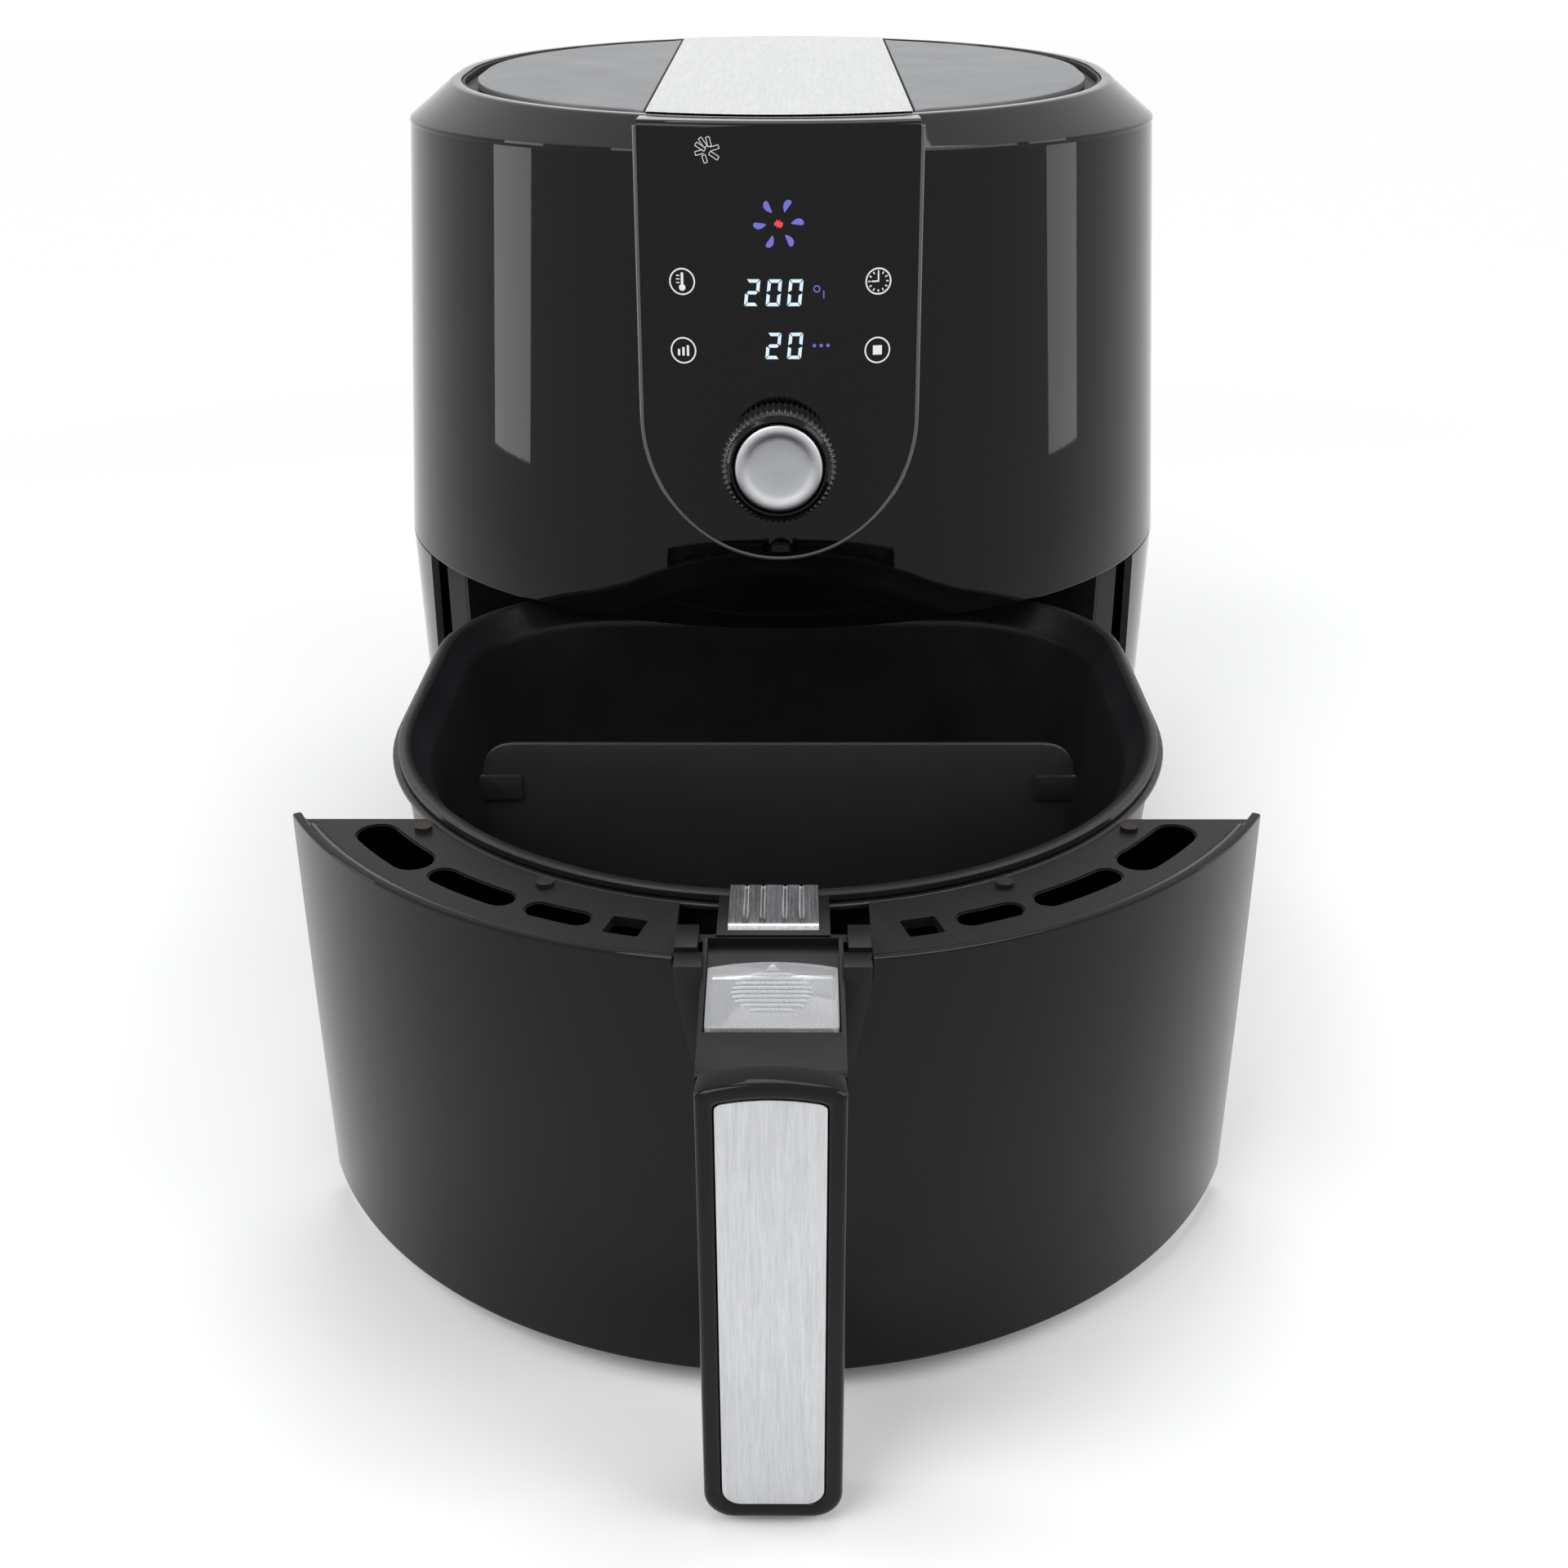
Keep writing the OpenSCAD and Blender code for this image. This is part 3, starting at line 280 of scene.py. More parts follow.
def sweep(name, stations, section, place, material, body, stands_for=(), closed=False, sharp=38):
    """Carries a closed section of (offset, height) pairs along stations; place gives each point."""
    points = [place(s, o, z) for s in stations for o, z in section]
    n, m = len(section), len(stations)
    faces = [(i * n + j, i * n + (j + 1) % n, (i + 1) % m * n + (j + 1) % n, (i + 1) % m * n + j)
             for i in range(m if closed else m - 1) for j in range(n)]
    if not closed:
        faces += [tuple(range(n)), tuple((m - 1) * n + j for j in range(n))]
    return piece(name, points, faces, material, body, stands_for, sharp)


def round_plan(first, last, count):
    """Stations round the housing, in degrees from the front: (sine, cosine, forward shift)."""
    out = []
    angles = {first + (last - first) * i / count for i in range(count + 1)}
    angles |= {side for side in (-90, 90) if min(first, last) < side < max(first, last)}
    for a in sorted(angles, reverse=first > last):
        shifts = [0.0] if abs(a) > 90 else [FRONT_LEN]
        if abs(abs(a) - 90) < 1e-6:
            shifts = [0.0, FRONT_LEN] if abs(a + (last - first) * 1e-6) < 90 else [FRONT_LEN, 0.0]
        out += [(math.sin(math.radians(a)), math.cos(math.radians(a)), shift) for shift in shifts]
    return out


shell_low, shell_high = corners("upper_shell")
BODY_R, PARTING = shell_high[0], shell_low[2]
SHOULDER = shell_high[2]
SHOULDER_R = corners("top_cover")[1][0]
FOOT_R, SKIRT = 160.0, corners("drawer_fascia")[0][2]
SEAM = shell_high[1]


def body_radius(z):
    """Half width of the housing at a height: it narrows from the parting line up and down."""
    if z > PARTING:
        return BODY_R + (z - PARTING) * (SHOULDER_R - BODY_R) / (SHOULDER - PARTING)
    return FOOT_R + (z - SKIRT) * (BODY_R - FOOT_R) / (PARTING - SKIRT)


def on_wall(station, o, z):
    """A point on the housing's wall, o outside it."""
    s, c, shift = station
    r = body_radius(z) + o
    return (r * s, -r * c - shift, z)


def ladder(low, high, steps, t=2.6, r=0.5):
    """Section of a tall wall with rounded edges, split in steps so that gloss stays smooth."""
    heights = [low + (high - low) * i / steps for i in range(1, steps)]
    outer = [(-r, low), (-r * 0.3, low + r * 0.3), (0, low + r),
        (0, low + r + 0.4)] + [(0, z) for z in heights]
    outer += [(0, high - r - 0.4), (0, high - r), (-r * 0.3, high - r * 0.3), (-r, high)]
    return outer + [(-t, high)] + [(-t, z) for z in reversed(heights)] + [(-t, low)]


piano_black = gloss("piano_black", (0.0022, 0.0022, 0.0026))
seam = 90 + math.degrees(math.asin(SEAM / BODY_R))
sweep("front_shell", round_plan(seam, -seam, 130), ladder(PARTING, SHOULDER, 10), on_wall, piano_black,
    "housing", ["upper_shell"])

# ---- Rear shell ----
# The rear shell closes the housing from the floor to the shoulder and reaches forward beside the
# drawer. It is the same gloss black, with a louvred grille for hot air and a gland for the lead.

GAP = 2.5


def rear_end(z):
    """Depth of the leaning gap between the drawer front and the rear shell."""
    return -97 + 15.0 * (146.5 - z) / 138.5


def skirt_wall(t, o, z):
    """Lower rear wall: t runs from -1 on the left to 1 on the right, round the back."""
    r = body_radius(z) + o
    end = rear_end(z) + GAP
    front = math.degrees(math.acos(max(-1, min(1, (-FRONT_LEN - end) / r))))
    a = front + (180 - front) * (1 - abs(t))
    s, c = math.sin(math.radians(a)), math.cos(math.radians(a))
    if a < 90:
        return (math.copysign(r * s, t), -r * c - FRONT_LEN, z)
    return (math.copysign(r * s, t), -r * c - (FRONT_LEN if a == 90 else 0), z)


sweep("rear_upper_shell", round_plan(seam + 0.15, 360 - seam - 0.15, 120),
    ladder(PARTING - 0.3, SHOULDER, 10), on_wall, piano_black, "housing",
      ["rear_shell"])
edges = sorted({round(-1 + i / 70, 5) for i in range(141)})
sweep("rear_lower_shell", edges, ladder(SKIRT, PARTING - 0.3, 8), skirt_wall, piano_black, "housing",
      ["rear_shell"])

# ---- Bevelled cover ----
# A gloss ring leans in from the shoulder to the flat rim of the top. Its faces are crisp, with a
# narrow radius where they meet.

TOP_R, TOP_Z, TILT = 133.0, 330.0, math.tan(math.radians(2))
bevel_black = gloss("bevel_black", (0.0022, 0.0022, 0.0026), 0.003, 0.025)


def on_cover(station, share, drop):
    """A point on the cover: share 0 at the shoulder, 1 at the rim, over 1 inwards on the top."""
    s, c, shift = station
    if share <= 1:
        r = SHOULDER_R + (TOP_R - SHOULDER_R) * share
        y = -r * c - shift
        z_top = TOP_Z + (-TOP_R * c - shift) * TILT
        return (r * s, y, SHOULDER + (z_top - SHOULDER) * share + drop)
    r = TOP_R - (share - 1) * 10
    y = -r * c - shift
    return (r * s, y, TOP_Z + y * TILT + drop)


cover_section = [(0.0, 0.0), (0.02, 0.03), (0.05, 0.03), (0.25, 0), (0.5, 0), (0.75, 0), (0.93, 0),
    (0.965, -0.02), (0.99, -0.08),
                 (1.03, -0.06), (1.36, -0.02), (1.395, -0.15), (1.4, -0.4), (1.4, -2.6), (1.0, -2.6),
                 (0.5, -2.6),
                 (0.0, -2.6), (-0.02, -0.6)]
sweep("bevel_cover", round_plan(-180, 180, 200)[:-1], cover_section, on_cover, bevel_black, "housing",
      ["top_cover"], closed=True, sharp=24)

# ---- Top: groove, grey halves and steel strip ----
# A matt black groove rings the top. Two grey satin halves sit in it, and a brushed stainless
# strip runs between them from the panel's lip to the back, with thin turned-down sides.


def matt(name, colour, rough=0.55, grain=1400, depth=0.25, specular=0.3, mottle=0.25):
    """Textured moulding: fine spark-eroded grain, and rubbed patches a little smoother."""
    made, skin, bsdf = blank(name)
    at = skin.node("TexCoord", out="Object")
    grains = at.noise(grain, (1, 1, 1), 3, 0.6)
    rubbed = at.noise(38, (1, 1, 1), 4, 0.6)
    shade = (rubbed * mottle + grains * mottle * 0.6)
    finish(bsdf, Base_Color=shade.mix(tuple(c * 0.82 for c in colour),
        tuple(min(1, c * 1.25 + 0.004) for c in colour)),
           Roughness=rubbed * 0.16 + (rough - 0.08), Specular_IOR_Level=specular,
           Normal=skin.node("Bump", Height=grains, Strength=depth, Distance=0.00015))
    return made


def brushed(name, colour, along, rough=0.3, contrast=0.14, shimmer=0.06, metallic=1.0, bump=0.1):
    """Stainless sheet brushed along one axis."""
    made, skin, bsdf = blank(name)
    at = skin.node("TexCoord", out="Object")
    stretch = {"X": (0.05, 1, 1), "Y": (1, 0.05, 1), "Z": (1, 1, 0.05)}[along]
    hairs = at.noise(2600, stretch, 4, 0.7)
    long_hairs = at.noise(700, stretch, 3, 0.6)
    clouds = at.noise(14, (1, 1, 1), 3, 0.5)
    tone = skin.node("MapRange", Value=hairs * 0.6 + long_hairs * 0.4, From_Min=0.36, From_Max=0.64)
    finish(bsdf, Base_Color=(tone * 0.8 + clouds * 0.2).mix(tuple(c * (1 - contrast) for c in colour),
                                                           tuple(min(1,
                                                           c * (1 + contrast * 0.6)) for c in colour)),
           Metallic=metallic, Roughness=tone * shimmer + clouds * 0.05 + (rough - 0.05),
           Normal=skin.node("Bump", Height=hairs, Strength=bump, Distance=0.00012))
    return made


def on_top(x, y, lift):
    """A point on the sloping top."""
    return (x, y, TOP_Z + y * TILT + lift)


groove_black = matt("groove_black", (0.006, 0.006, 0.007), 0.5)
sweep("groove", round_plan(-180, 180, 160)[:-1],
    rounded([(-4.2, -0.5), (-4.2, -5), (-12, -5), (-12, -3.6), (-5.4, -3.6), (-5.4, -0.5)], 0.4),
      lambda s, o, z: on_top((TOP_R + o) * s[0], -(TOP_R + o) * s[1] - s[2], z), groove_black, "housing",
      ["top_groove"], closed=True)
satin_grey = matt("satin_grey", (0.135, 0.14, 0.15), 0.36, 1700, 0.10, 0.5, 0.12)
strip_high = corners("steel_strip")[1]
STRIP = strip_high[0]
r_disc = TOP_R - 10.5
for side, name in ((-1, "top_half_left"), (1, "top_half_right")):
    edge = []
    x0 = STRIP + 1.0
    for i in range(73):
        a = math.radians(2.5 * i)
        x, y = r_disc * math.sin(a), -r_disc * math.cos(a) - (FRONT_LEN if i < 36 else 0)
        if x > x0:
            edge.append((x, y))
    edge = [(x0, edge[0][1] - 4.2)] + edge + [(x0, edge[-1][1] + 4.2)]
    rings = []
    for inset, lift in ((0.0, -2.6), (0.0, -0.35), (0.12, -0.1), (0.45, 0.02), (3, 0.05), (20, 0.12)):
        cx, cy = sum(p[0] for p in edge) / len(edge), sum(p[1] for p in edge) / len(edge)
        ring = []
        for x, y in edge:
            d = math.hypot(x - cx, y - cy)
            k = 1 - inset / d
            ring.append(on_top(side * (cx + (x - cx) * k), cy + (y - cy) * k, lift))
        rings.append(ring)
    n = len(edge)
    points = [p for ring in rings for p in ring] + [on_top(side * cx, cy, 0.15)]
    faces = [(k * n + j, k * n + (j + 1) % n, (k + 1) * n + (j + 1) % n, (k + 1) * n + j)
             for k in range(len(rings) - 1) for j in range(n)]
    faces += [((len(rings) - 1) * n + j, (len(rings) - 1) * n + (j + 1) % n,
        len(points) - 1) for j in range(n)]
    faces.append(tuple(range(n)))
    piece(name, points, faces, satin_grey, "housing", ["top_panel"])
strip_steel = brushed("strip_steel", (0.70, 0.71, 0.72), "Y", 0.27, 0.2)
rows = 40
front_y, back_y = -(TOP_R + FRONT_LEN) + 6.2, TOP_R - 4.6
section = [(-STRIP, -2.4), (-STRIP, 0.15), (-STRIP + 0.12, 0.5), (-STRIP + 0.5, 0.72)]
section += [(-STRIP + 3 + (2 * STRIP - 6) * i / 12, 0.78) for i in range(13)]
section += [(-x, z) for x, z in reversed(section[:4])]
section += [(STRIP - 0.8, -2.4), (STRIP - 0.8, -0.1), (-STRIP + 0.8, -0.1), (-STRIP + 0.8, -2.4)]


def strip_point(t, x, z):
    """The strip's ends follow the rim; its last few millimetres bend down a little."""
    r = TOP_R - 4.7
    f = -FRONT_LEN - math.sqrt(r * r - x * x) + 1.0
    b = math.sqrt(r * r - x * x)
    y = f + (b - f) * t
    dip = -0.5 * max(0, 1 - (y - f) / 2.0) ** 2 - 0.5 * max(0, 1 - (b - y) / 2.0) ** 2
    return on_top(x, y, z + dip)


sweep("steel_strip_sheet", [0, 0.004, 0.01] + [i / rows for i in range(1, rows)] + [0.99, 0.996, 1], section,
    strip_point, strip_steel,
      "housing", ["steel_strip"], sharp=50)

# ---- Control panel ----
# A touch panel in smoked gloss plastic follows the curve of the shell. It ends in a U at the
# bottom and turns over at the top to meet the steel strip. A slim bezel frames it.

frame_low, frame_high = corners("control_frame")
PANEL, PANEL_LOW = frame_high[0], frame_low[2]
PANEL_TOP = 325.0
LIFT = 0.8


def half_width(z, inset):
    """Half width of the U at a height."""
    r = PANEL - inset
    rise = PANEL_LOW + PANEL - z
    return math.sqrt(max(0.0, r * r - rise * rise)) if rise > 0 else r


def on_front(x, z, lift):
    """A point on the curved front of the shell, lift outside it."""
    r = SHOULDER_R + (z - SHOULDER) * (SHOULDER_R - BODY_R) / (SHOULDER - PARTING) if z > SHOULDER else body_radius(z)
    r += lift
    return (x, -FRONT_LEN - math.sqrt(max(0.0, r * r - x * x)), z)


panel_glass = gloss("panel_glass", (0.0012, 0.0012, 0.0014), 0.001, 0.018)
inset = 1.5
heights = [PANEL_LOW + inset + (PANEL - inset) * (1 - math.cos(math.pi / 2 * i / 24)) for i in range(25)]
heights += [PANEL_LOW + PANEL + (PANEL_TOP - 2.6 - PANEL_LOW - PANEL) * i / 20 for i in range(1, 21)]
columns = 28
rows_of_points = []
for z in heights:
    w = half_width(z, inset)
    rows_of_points.append([on_front(w * (2 * j / columns - 1), z, LIFT) for j in range(columns + 1)])
for k in range(1, 7):
    a = math.pi / 2 * k / 6
    row = []
    for j in range(columns + 1):
        x = (PANEL - inset) * (2 * j / columns - 1)
        fy = on_front(x, PANEL_TOP - 2.6, LIFT)[1]
        row.append((x, fy + 2.6 * (1 - math.cos(a)), PANEL_TOP - 2.6 + 2.6 * math.sin(a)))
    rows_of_points.append(row)
for k in range(1, 7):
    row = []
    for j in range(columns + 1):
        x = (PANEL - inset) * (2 * j / columns - 1)
        start = rows_of_points[len(heights) + 5][j]
        end_y = -FRONT_LEN - math.sqrt((TOP_R - 5.5) ** 2 - x * x) + 1.0
        y = start[1] + (end_y - start[1]) * k / 6
        row.append((x, y, PANEL_TOP + (TOP_Z + y * TILT - 0.4 - PANEL_TOP) * (k / 6) ** 1.5))
    rows_of_points.append(row)
top_row = rows_of_points[-1]
rows_of_points.append([(x, y, z - 3) for x, y, z in top_row])
front_points = [p for row in rows_of_points for p in row]
n = columns + 1
panel_faces = [(i * n + j, i * n + j + 1, (i + 1) * n + j + 1, (i + 1) * n + j)
               for i in range(len(rows_of_points) - 1) for j in range(columns)]
sides = []
for i in range(1, len(rows_of_points) - 1):
    for j in (0, columns):
        x, y, z = rows_of_points[i][j]
        sides.append((x, y + 9 if i >= len(heights) - 1 else y + 2, z if i < len(heights) + 5 else z - 8))
side_base = len(front_points)
for i in range(1, len(rows_of_points) - 2):
    for j, lane in ((0, 0), (columns, 1)):
        a, b = i * n + j, (i + 1) * n + j
        c, d = side_base + (i - 1) * 2 + lane, side_base + i * 2 + lane
        panel_faces.append((a, b, d, c) if lane == 0 else (b, a, c, d))
piece("touch_panel", front_points + sides, panel_faces, panel_glass, "housing",
    ["control_panel"], sharp=50)

bezel_stations = [(-PANEL, z) for z in [PANEL_TOP - 2.0 - 6 * i for i in range(int((PANEL_TOP - 2 - PANEL_LOW - PANEL) / 6) + 1)]]
bezel_stations += [(PANEL * math.sin(math.radians(a)), PANEL_LOW + PANEL - PANEL * math.cos(math.radians(a)))
                   for a in range(-90, 91, 3)]
bezel_stations += [(-x, z) for x, z in reversed(bezel_stations[:-61])]


def bezel_point(station, across, lift):
    """across runs from 0 at the outer edge to 1 at the inner edge of the bezel."""
    x, z = station
    rise = PANEL_LOW + PANEL - z
    w = 1.55 * across
    if rise > 0:
        d = math.hypot(x, rise)
        x, z = x * (1 - w / d), PANEL_LOW + PANEL - rise * (1 - w / d)
    else:
        x -= math.copysign(w, x)
    return on_front(x, z, lift)


bezel_gloss = gloss("bezel_gloss", (0.035, 0.036, 0.040), 0.004, 0.09, 0.9)
sweep("panel_bezel", bezel_stations, [(0.0, -0.6), (0.0, 0.75), (0.1, 1.08), (0.32, 1.25), (0.7, 1.22),
    (0.93, 1.0), (1.0, 0.6), (1.0, -0.6)],
      bezel_point, bezel_gloss, "housing", ["control_frame"])

# ---- Display ----
# Lit symbols shine through clear windows in the panel's paint: a fan with a red heart, two rows of
# slanted digits, unit marks, four touch rings and a bundle of fries. They are printed film.


def symbol(name, outlines, colour, strength):
    """Flat outlines in (x, z) laid on the panel, each a list of points, given some thickness."""
    mesh = bpy.data.meshes.new(name)
    film = bmesh.new()
    for outline in outlines:
        film.faces.new([film.verts.new((x, 0, z)) for x, z in outline])
    bmesh.ops.triangulate(film, faces=film.faces[:])
    backs = bmesh.ops.extrude_face_region(film, geom=film.faces[:])["geom"]
    for item in backs:
        if isinstance(item, bmesh.types.BMVert):
            item.co.y = 0.06
    for vert in film.verts:
        vert.co = Vector(on_front(vert.co.x, vert.co.z, LIFT + 0.04 - vert.co.y)) * 0.001
    bmesh.ops.recalc_face_normals(film, faces=film.faces)
    film.to_mesh(mesh)
    film.free()
    made = bpy.data.objects.new(name, mesh)
    bpy.context.scene.collection.objects.link(made)
    lit_film, skin, bsdf = blank(name + "_film")
    grain = skin.node("TexCoord", out="Object").noise(3500, (1, 1, 1), 2)
    shine = (grain * 0.35 + 0.3).mix(tuple(c * 0.88 for c in colour), tuple(min(1, c * 1.1) for c in colour))
    finish(bsdf, Base_Color=(0.02, 0.02, 0.02), Emission_Color=shine, Emission_Strength=strength,
        Roughness=0.3)
    mesh.materials.append(lit_film)
    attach(made, "housing")
    return made


def ring_outline(x, z, r, w, steps=32):
    """A ring as short quads."""
    out = []
    for i in range(steps):
        a, b = 2 * math.pi * i / steps, 2 * math.pi * (i + 1) / steps
        out.append([(x + q * math.cos(t), z + q * math.sin(t)) for q,
            t in ((r, a), (r, b), (r - w, b), (r - w, a))])
    return out


def stroke(x0, z0, x1, z1, w):
    """A straight line of width w."""
    d = Vector((x1 - x0, z1 - z0)).normalized() * w / 2
    return [(x0 - d.y, z0 + d.x), (x1 - d.y, z1 + d.x), (x1 + d.y, z1 - d.x), (x0 + d.y, z0 - d.x)]


def digit(kind, x, z, w=4.9, h=9.0, t=1.15, slant=0.1):
    """A seven-segment digit; x and z give the middle of its foot."""
    lit_segments = {"2": "abged", "0": "abcdef"}[kind]
    g, m = 0.28, h / 2
    bars = {
        "a": [(g, h), (w - g, h), (w - t, h - t), (t, h - t)], "d": [(t, t), (w - t, t), (w - g, 0), (g, 0)],
        "g": [(g + 0.3, m), (t, m + t / 2), (w - t, m + t / 2), (w - g - 0.3, m), (w - t, m - t / 2), (t, m - t / 2)],
        "b": [(w, h - g), (w, m + g), (w - t, m + t / 2 + g), (w - t, h - t - g)],
        "c": [(w, m - g), (w, g), (w - t, t + g), (w - t, m - t / 2 - g)],
        "f": [(0, h - g), (t, h - t - g), (t, m + t / 2 + g), (0, m + g)],
        "e": [(0, m - g), (t, m - t / 2 - g), (t, t + g), (0, g)]}
    return [[(x - w / 2 + px + slant * (pz - m), z + pz) for px, pz in bars[k]] for k in lit_segments]


blades = []
for k in range(6):
    turn_by = math.radians(60 * k + 2)
    outline = []
    for i in range(20):
        t = 2 * math.pi * i / 20
        along = 6.5 + 2.2 * math.cos(t)
        wide = (1.0 + 0.45 * math.cos(t)) * math.sin(t) + 0.5 * math.sin(math.pi * (along - 4.3) / 4.5)
        outline.append((along * math.cos(turn_by) - wide * math.sin(turn_by),
            292.2 + along * math.sin(turn_by) + wide * math.cos(turn_by)))
    blades.append(outline)
symbol("fan_symbol", blades, (0.135, 0.12, 0.62), 1.0)
star = [((1.6 if i % 2 else 0.8) * math.sin(math.pi * i / 8),
    292.2 + (1.6 if i % 2 else 0.8) * math.cos(math.pi * i / 8)) for i in range(16)]
symbol("heat_symbol", [star], (0.85, 0.02, 0.03), 1.0)
symbol("temperature_digits", digit("2", -9.2, 264.9) + digit("0", -1.7, 264.9) + digit("0", 5.7, 264.9),
    (0.66, 0.84, 1.0), 1.05)
symbol("time_digits", digit("2", -1.9, 246.9) + digit("0", 5.7, 246.9), (0.66, 0.84, 1.0), 1.05)
unit_marks = ring_outline(13.2, 270.6, 1.25, 0.42, 20) + [stroke(15.6, 267.4, 15.6, 270.0, 0.4)]
unit_marks += [ring_outline(12.4 + 2.4 * i, 251.4, 0.62, 0.62, 14)[j] for i in range(3) for j in range(14)]
symbol("unit_symbols", unit_marks, (0.12, 0.11, 0.55), 1.0)
touch = []
for x, z in ((-33.6, 272.6), (-33.6, 249.2), (34.6, 272.6), (34.6, 249.2)):
    touch += ring_outline(x, z, 4.55, 0.5, 40)
touch += ring_outline(-33.6, 270.6, 1.15, 1.15, 16) + [stroke(-33.6, 271, -33.6, 275.6, 0.9)]
touch += [stroke(-35.7, z, -34.5, z, 0.35) for z in (272.2, 273.4, 274.6)]
touch += [stroke(-35.2 + 1.6 * i, 247.4, -35.2 + 1.6 * i, 249.6 + 0.7 * i, 0.8) for i in range(3)]
touch += [stroke(34.6 + 3.6 * math.sin(a), 272.6 + 3.6 * math.cos(a), 34.6 + 2.75 * math.sin(a),
    272.6 + 2.75 * math.cos(a), 0.42)
          for a in [math.pi * i / 6 for i in range(12)]]
touch += [stroke(34.6, 272.4, 34.6, 275.4, 0.5), stroke(34.8, 272.6, 32.2, 272.6, 0.5)]
touch += [[(33.0, 247.6), (36.2, 247.6), (36.2, 250.8), (33.0, 250.8)]]
symbol("touch_symbols", touch, (0.86, 0.87, 0.88), 0.9)
fries = []
for x0, z0, x1, z1 in ((-28.2, 314.6, -20.2, 317.0), (-28.0, 317.8, -24.9, 315.9),
    (-23.3, 315.0, -20.4, 313.2),
                       (-26.6, 319.6, -24.6, 316.9), (-24.0, 320.0, -23.2, 317.0),
                       (-25.4, 314.2, -24.6, 311.8)):
    d = Vector((x1 - x0, z1 - z0)).normalized() * 0.62
    fries += [stroke(x0 - d.y, z0 + d.x, x1 - d.y, z1 + d.x, 0.26),
        stroke(x0 + d.y, z0 - d.x, x1 + d.y, z1 - d.x, 0.26),
              stroke(x0 - d.y, z0 + d.x, x0 + d.y, z0 - d.x, 0.26),
              stroke(x1 - d.y, z1 + d.x, x1 + d.y, z1 - d.x, 0.26)]
symbol("fries_symbol", fries, (0.8, 0.82, 0.85), 0.75)

# ---- Dial ----
# A push-and-turn dial stands on the panel: a finely knurled black ring, a polished collar with a
# deep chamfer, and a satin silver cap, dished by turning, that is pressed to start.


def turned(name, profile, axis, material, body, stands_for=(), teeth=0, bite=0.0, cut_below=1e9,
    segments=96, sharp=30):
    """Turns a closed profile of (radius, depth) pairs about a line along Y; teeth roughen the rim."""
    count = teeth * 6 if teeth else segments
    ax, az = axis
    points = []
    for i in range(count):
        a = 2 * math.pi * i / count
        wave = (0.0, 0.0, 0.5, 1.0, 1.0, 0.5)[i % 6] if teeth else 0
        for r, y in profile:
            q = r - bite * wave if r > cut_below else r
            points.append((ax + q * math.sin(a), y, az + q * math.cos(a)))
    n = len(profile)
    faces = [(i * n + j, i * n + (j + 1) % n, (i + 1) % count * n + (j + 1) % n, (i + 1) % count * n + j)
             for i in range(count) for j in range(n)]
    return piece(name, points, faces, material, body, stands_for, sharp)


ring_box, face_box, cap_box = corners("dial_ring"), corners("dial_face"), corners("push_cap")
DIAL_Z = (ring_box[0][2] + ring_box[1][2]) / 2
back, front = ring_box[1][1], ring_box[0][1]
KNOB_R, CAP_R = ring_box[1][0], cap_box[1][0]
dial_black = matt("dial_black", (0.016, 0.016, 0.018), 0.24, 1500, 0.05, 0.6)
ff = face_box[0][1]
turned("dial_knurl", [(KNOB_R - 0.7, back), (KNOB_R - 0.15, back - 0.5), (KNOB_R, back - 1.0),
    (KNOB_R, front - 0.7), (KNOB_R - 0.2, front - 1.2),
                      (KNOB_R - 1.5, front - 2.5), (KNOB_R - 2.6, front - 2.5), (KNOB_R - 2.6, front),
                      (CAP_R + 0.7, front), (CAP_R + 0.7, back)],
       (0, DIAL_Z), dial_black, "dial", ["dial_ring"], teeth=60, bite=0.75,
       cut_below=KNOB_R - 1.6, sharp=24)
dial_gloss = gloss("dial_gloss", (0.004, 0.004, 0.005), 0.002, 0.05)
turned("dial_collar", [(CAP_R + 0.45, front - 1.0), (KNOB_R - 1.95, front - 1.0), (KNOB_R - 1.9, front - 2.9),
    (KNOB_R - 2.0, front - 3.3), (KNOB_R - 2.25, front - 3.5),
                       (KNOB_R - 2.6, ff + 0.5), (KNOB_R - 3.1, ff + 0.08), (KNOB_R - 3.4, ff),
                       (CAP_R + 0.95, ff), (CAP_R + 0.7, ff + 0.1),
                       (CAP_R + 0.55, ff + 0.4), (CAP_R + 0.45, ff + 1.0)], (0, DIAL_Z), dial_gloss, "dial",
                       ["dial_face"], sharp=24)
cap_silver, skin, bsdf = blank("cap_silver")
at = skin.node("TexCoord", out="Object")
off_axis = skin.node("VectorMath", settings={"operation": "SUBTRACT"}, i0=at, i1=(0, 0, DIAL_Z * 0.001))
away = skin.node("VectorMath", out="Value", settings={"operation": "LENGTH"}, i0=skin.node(
    "VectorMath", settings={"operation": "MULTIPLY"}, i0=off_axis, i1=(1, 0, 1)))
sparkle = at.noise(1700, (1, 1, 1), 4, 0.75)
rings = skin.math("SINE", away * 42000 + sparkle * 3) * 0.5 + 0.5
finish(bsdf, Base_Color=(sparkle * 0.75 + rings * 0.2).mix((0.50, 0.51, 0.53), (0.80, 0.81, 0.83)),
    Metallic=1.0,
       Roughness=sparkle * 0.14 + 0.3, Normal=skin.node("Bump", Height=sparkle + rings * 0.3, Strength=0.25,
       Distance=0.0001))
cf, cb = cap_box[0][1], cap_box[1][1]
dish = [(CAP_R * k / 9 * 0.7, cf + 0.95 - 0.38 * (k / 9) ** 3) for k in range(0, 10)]
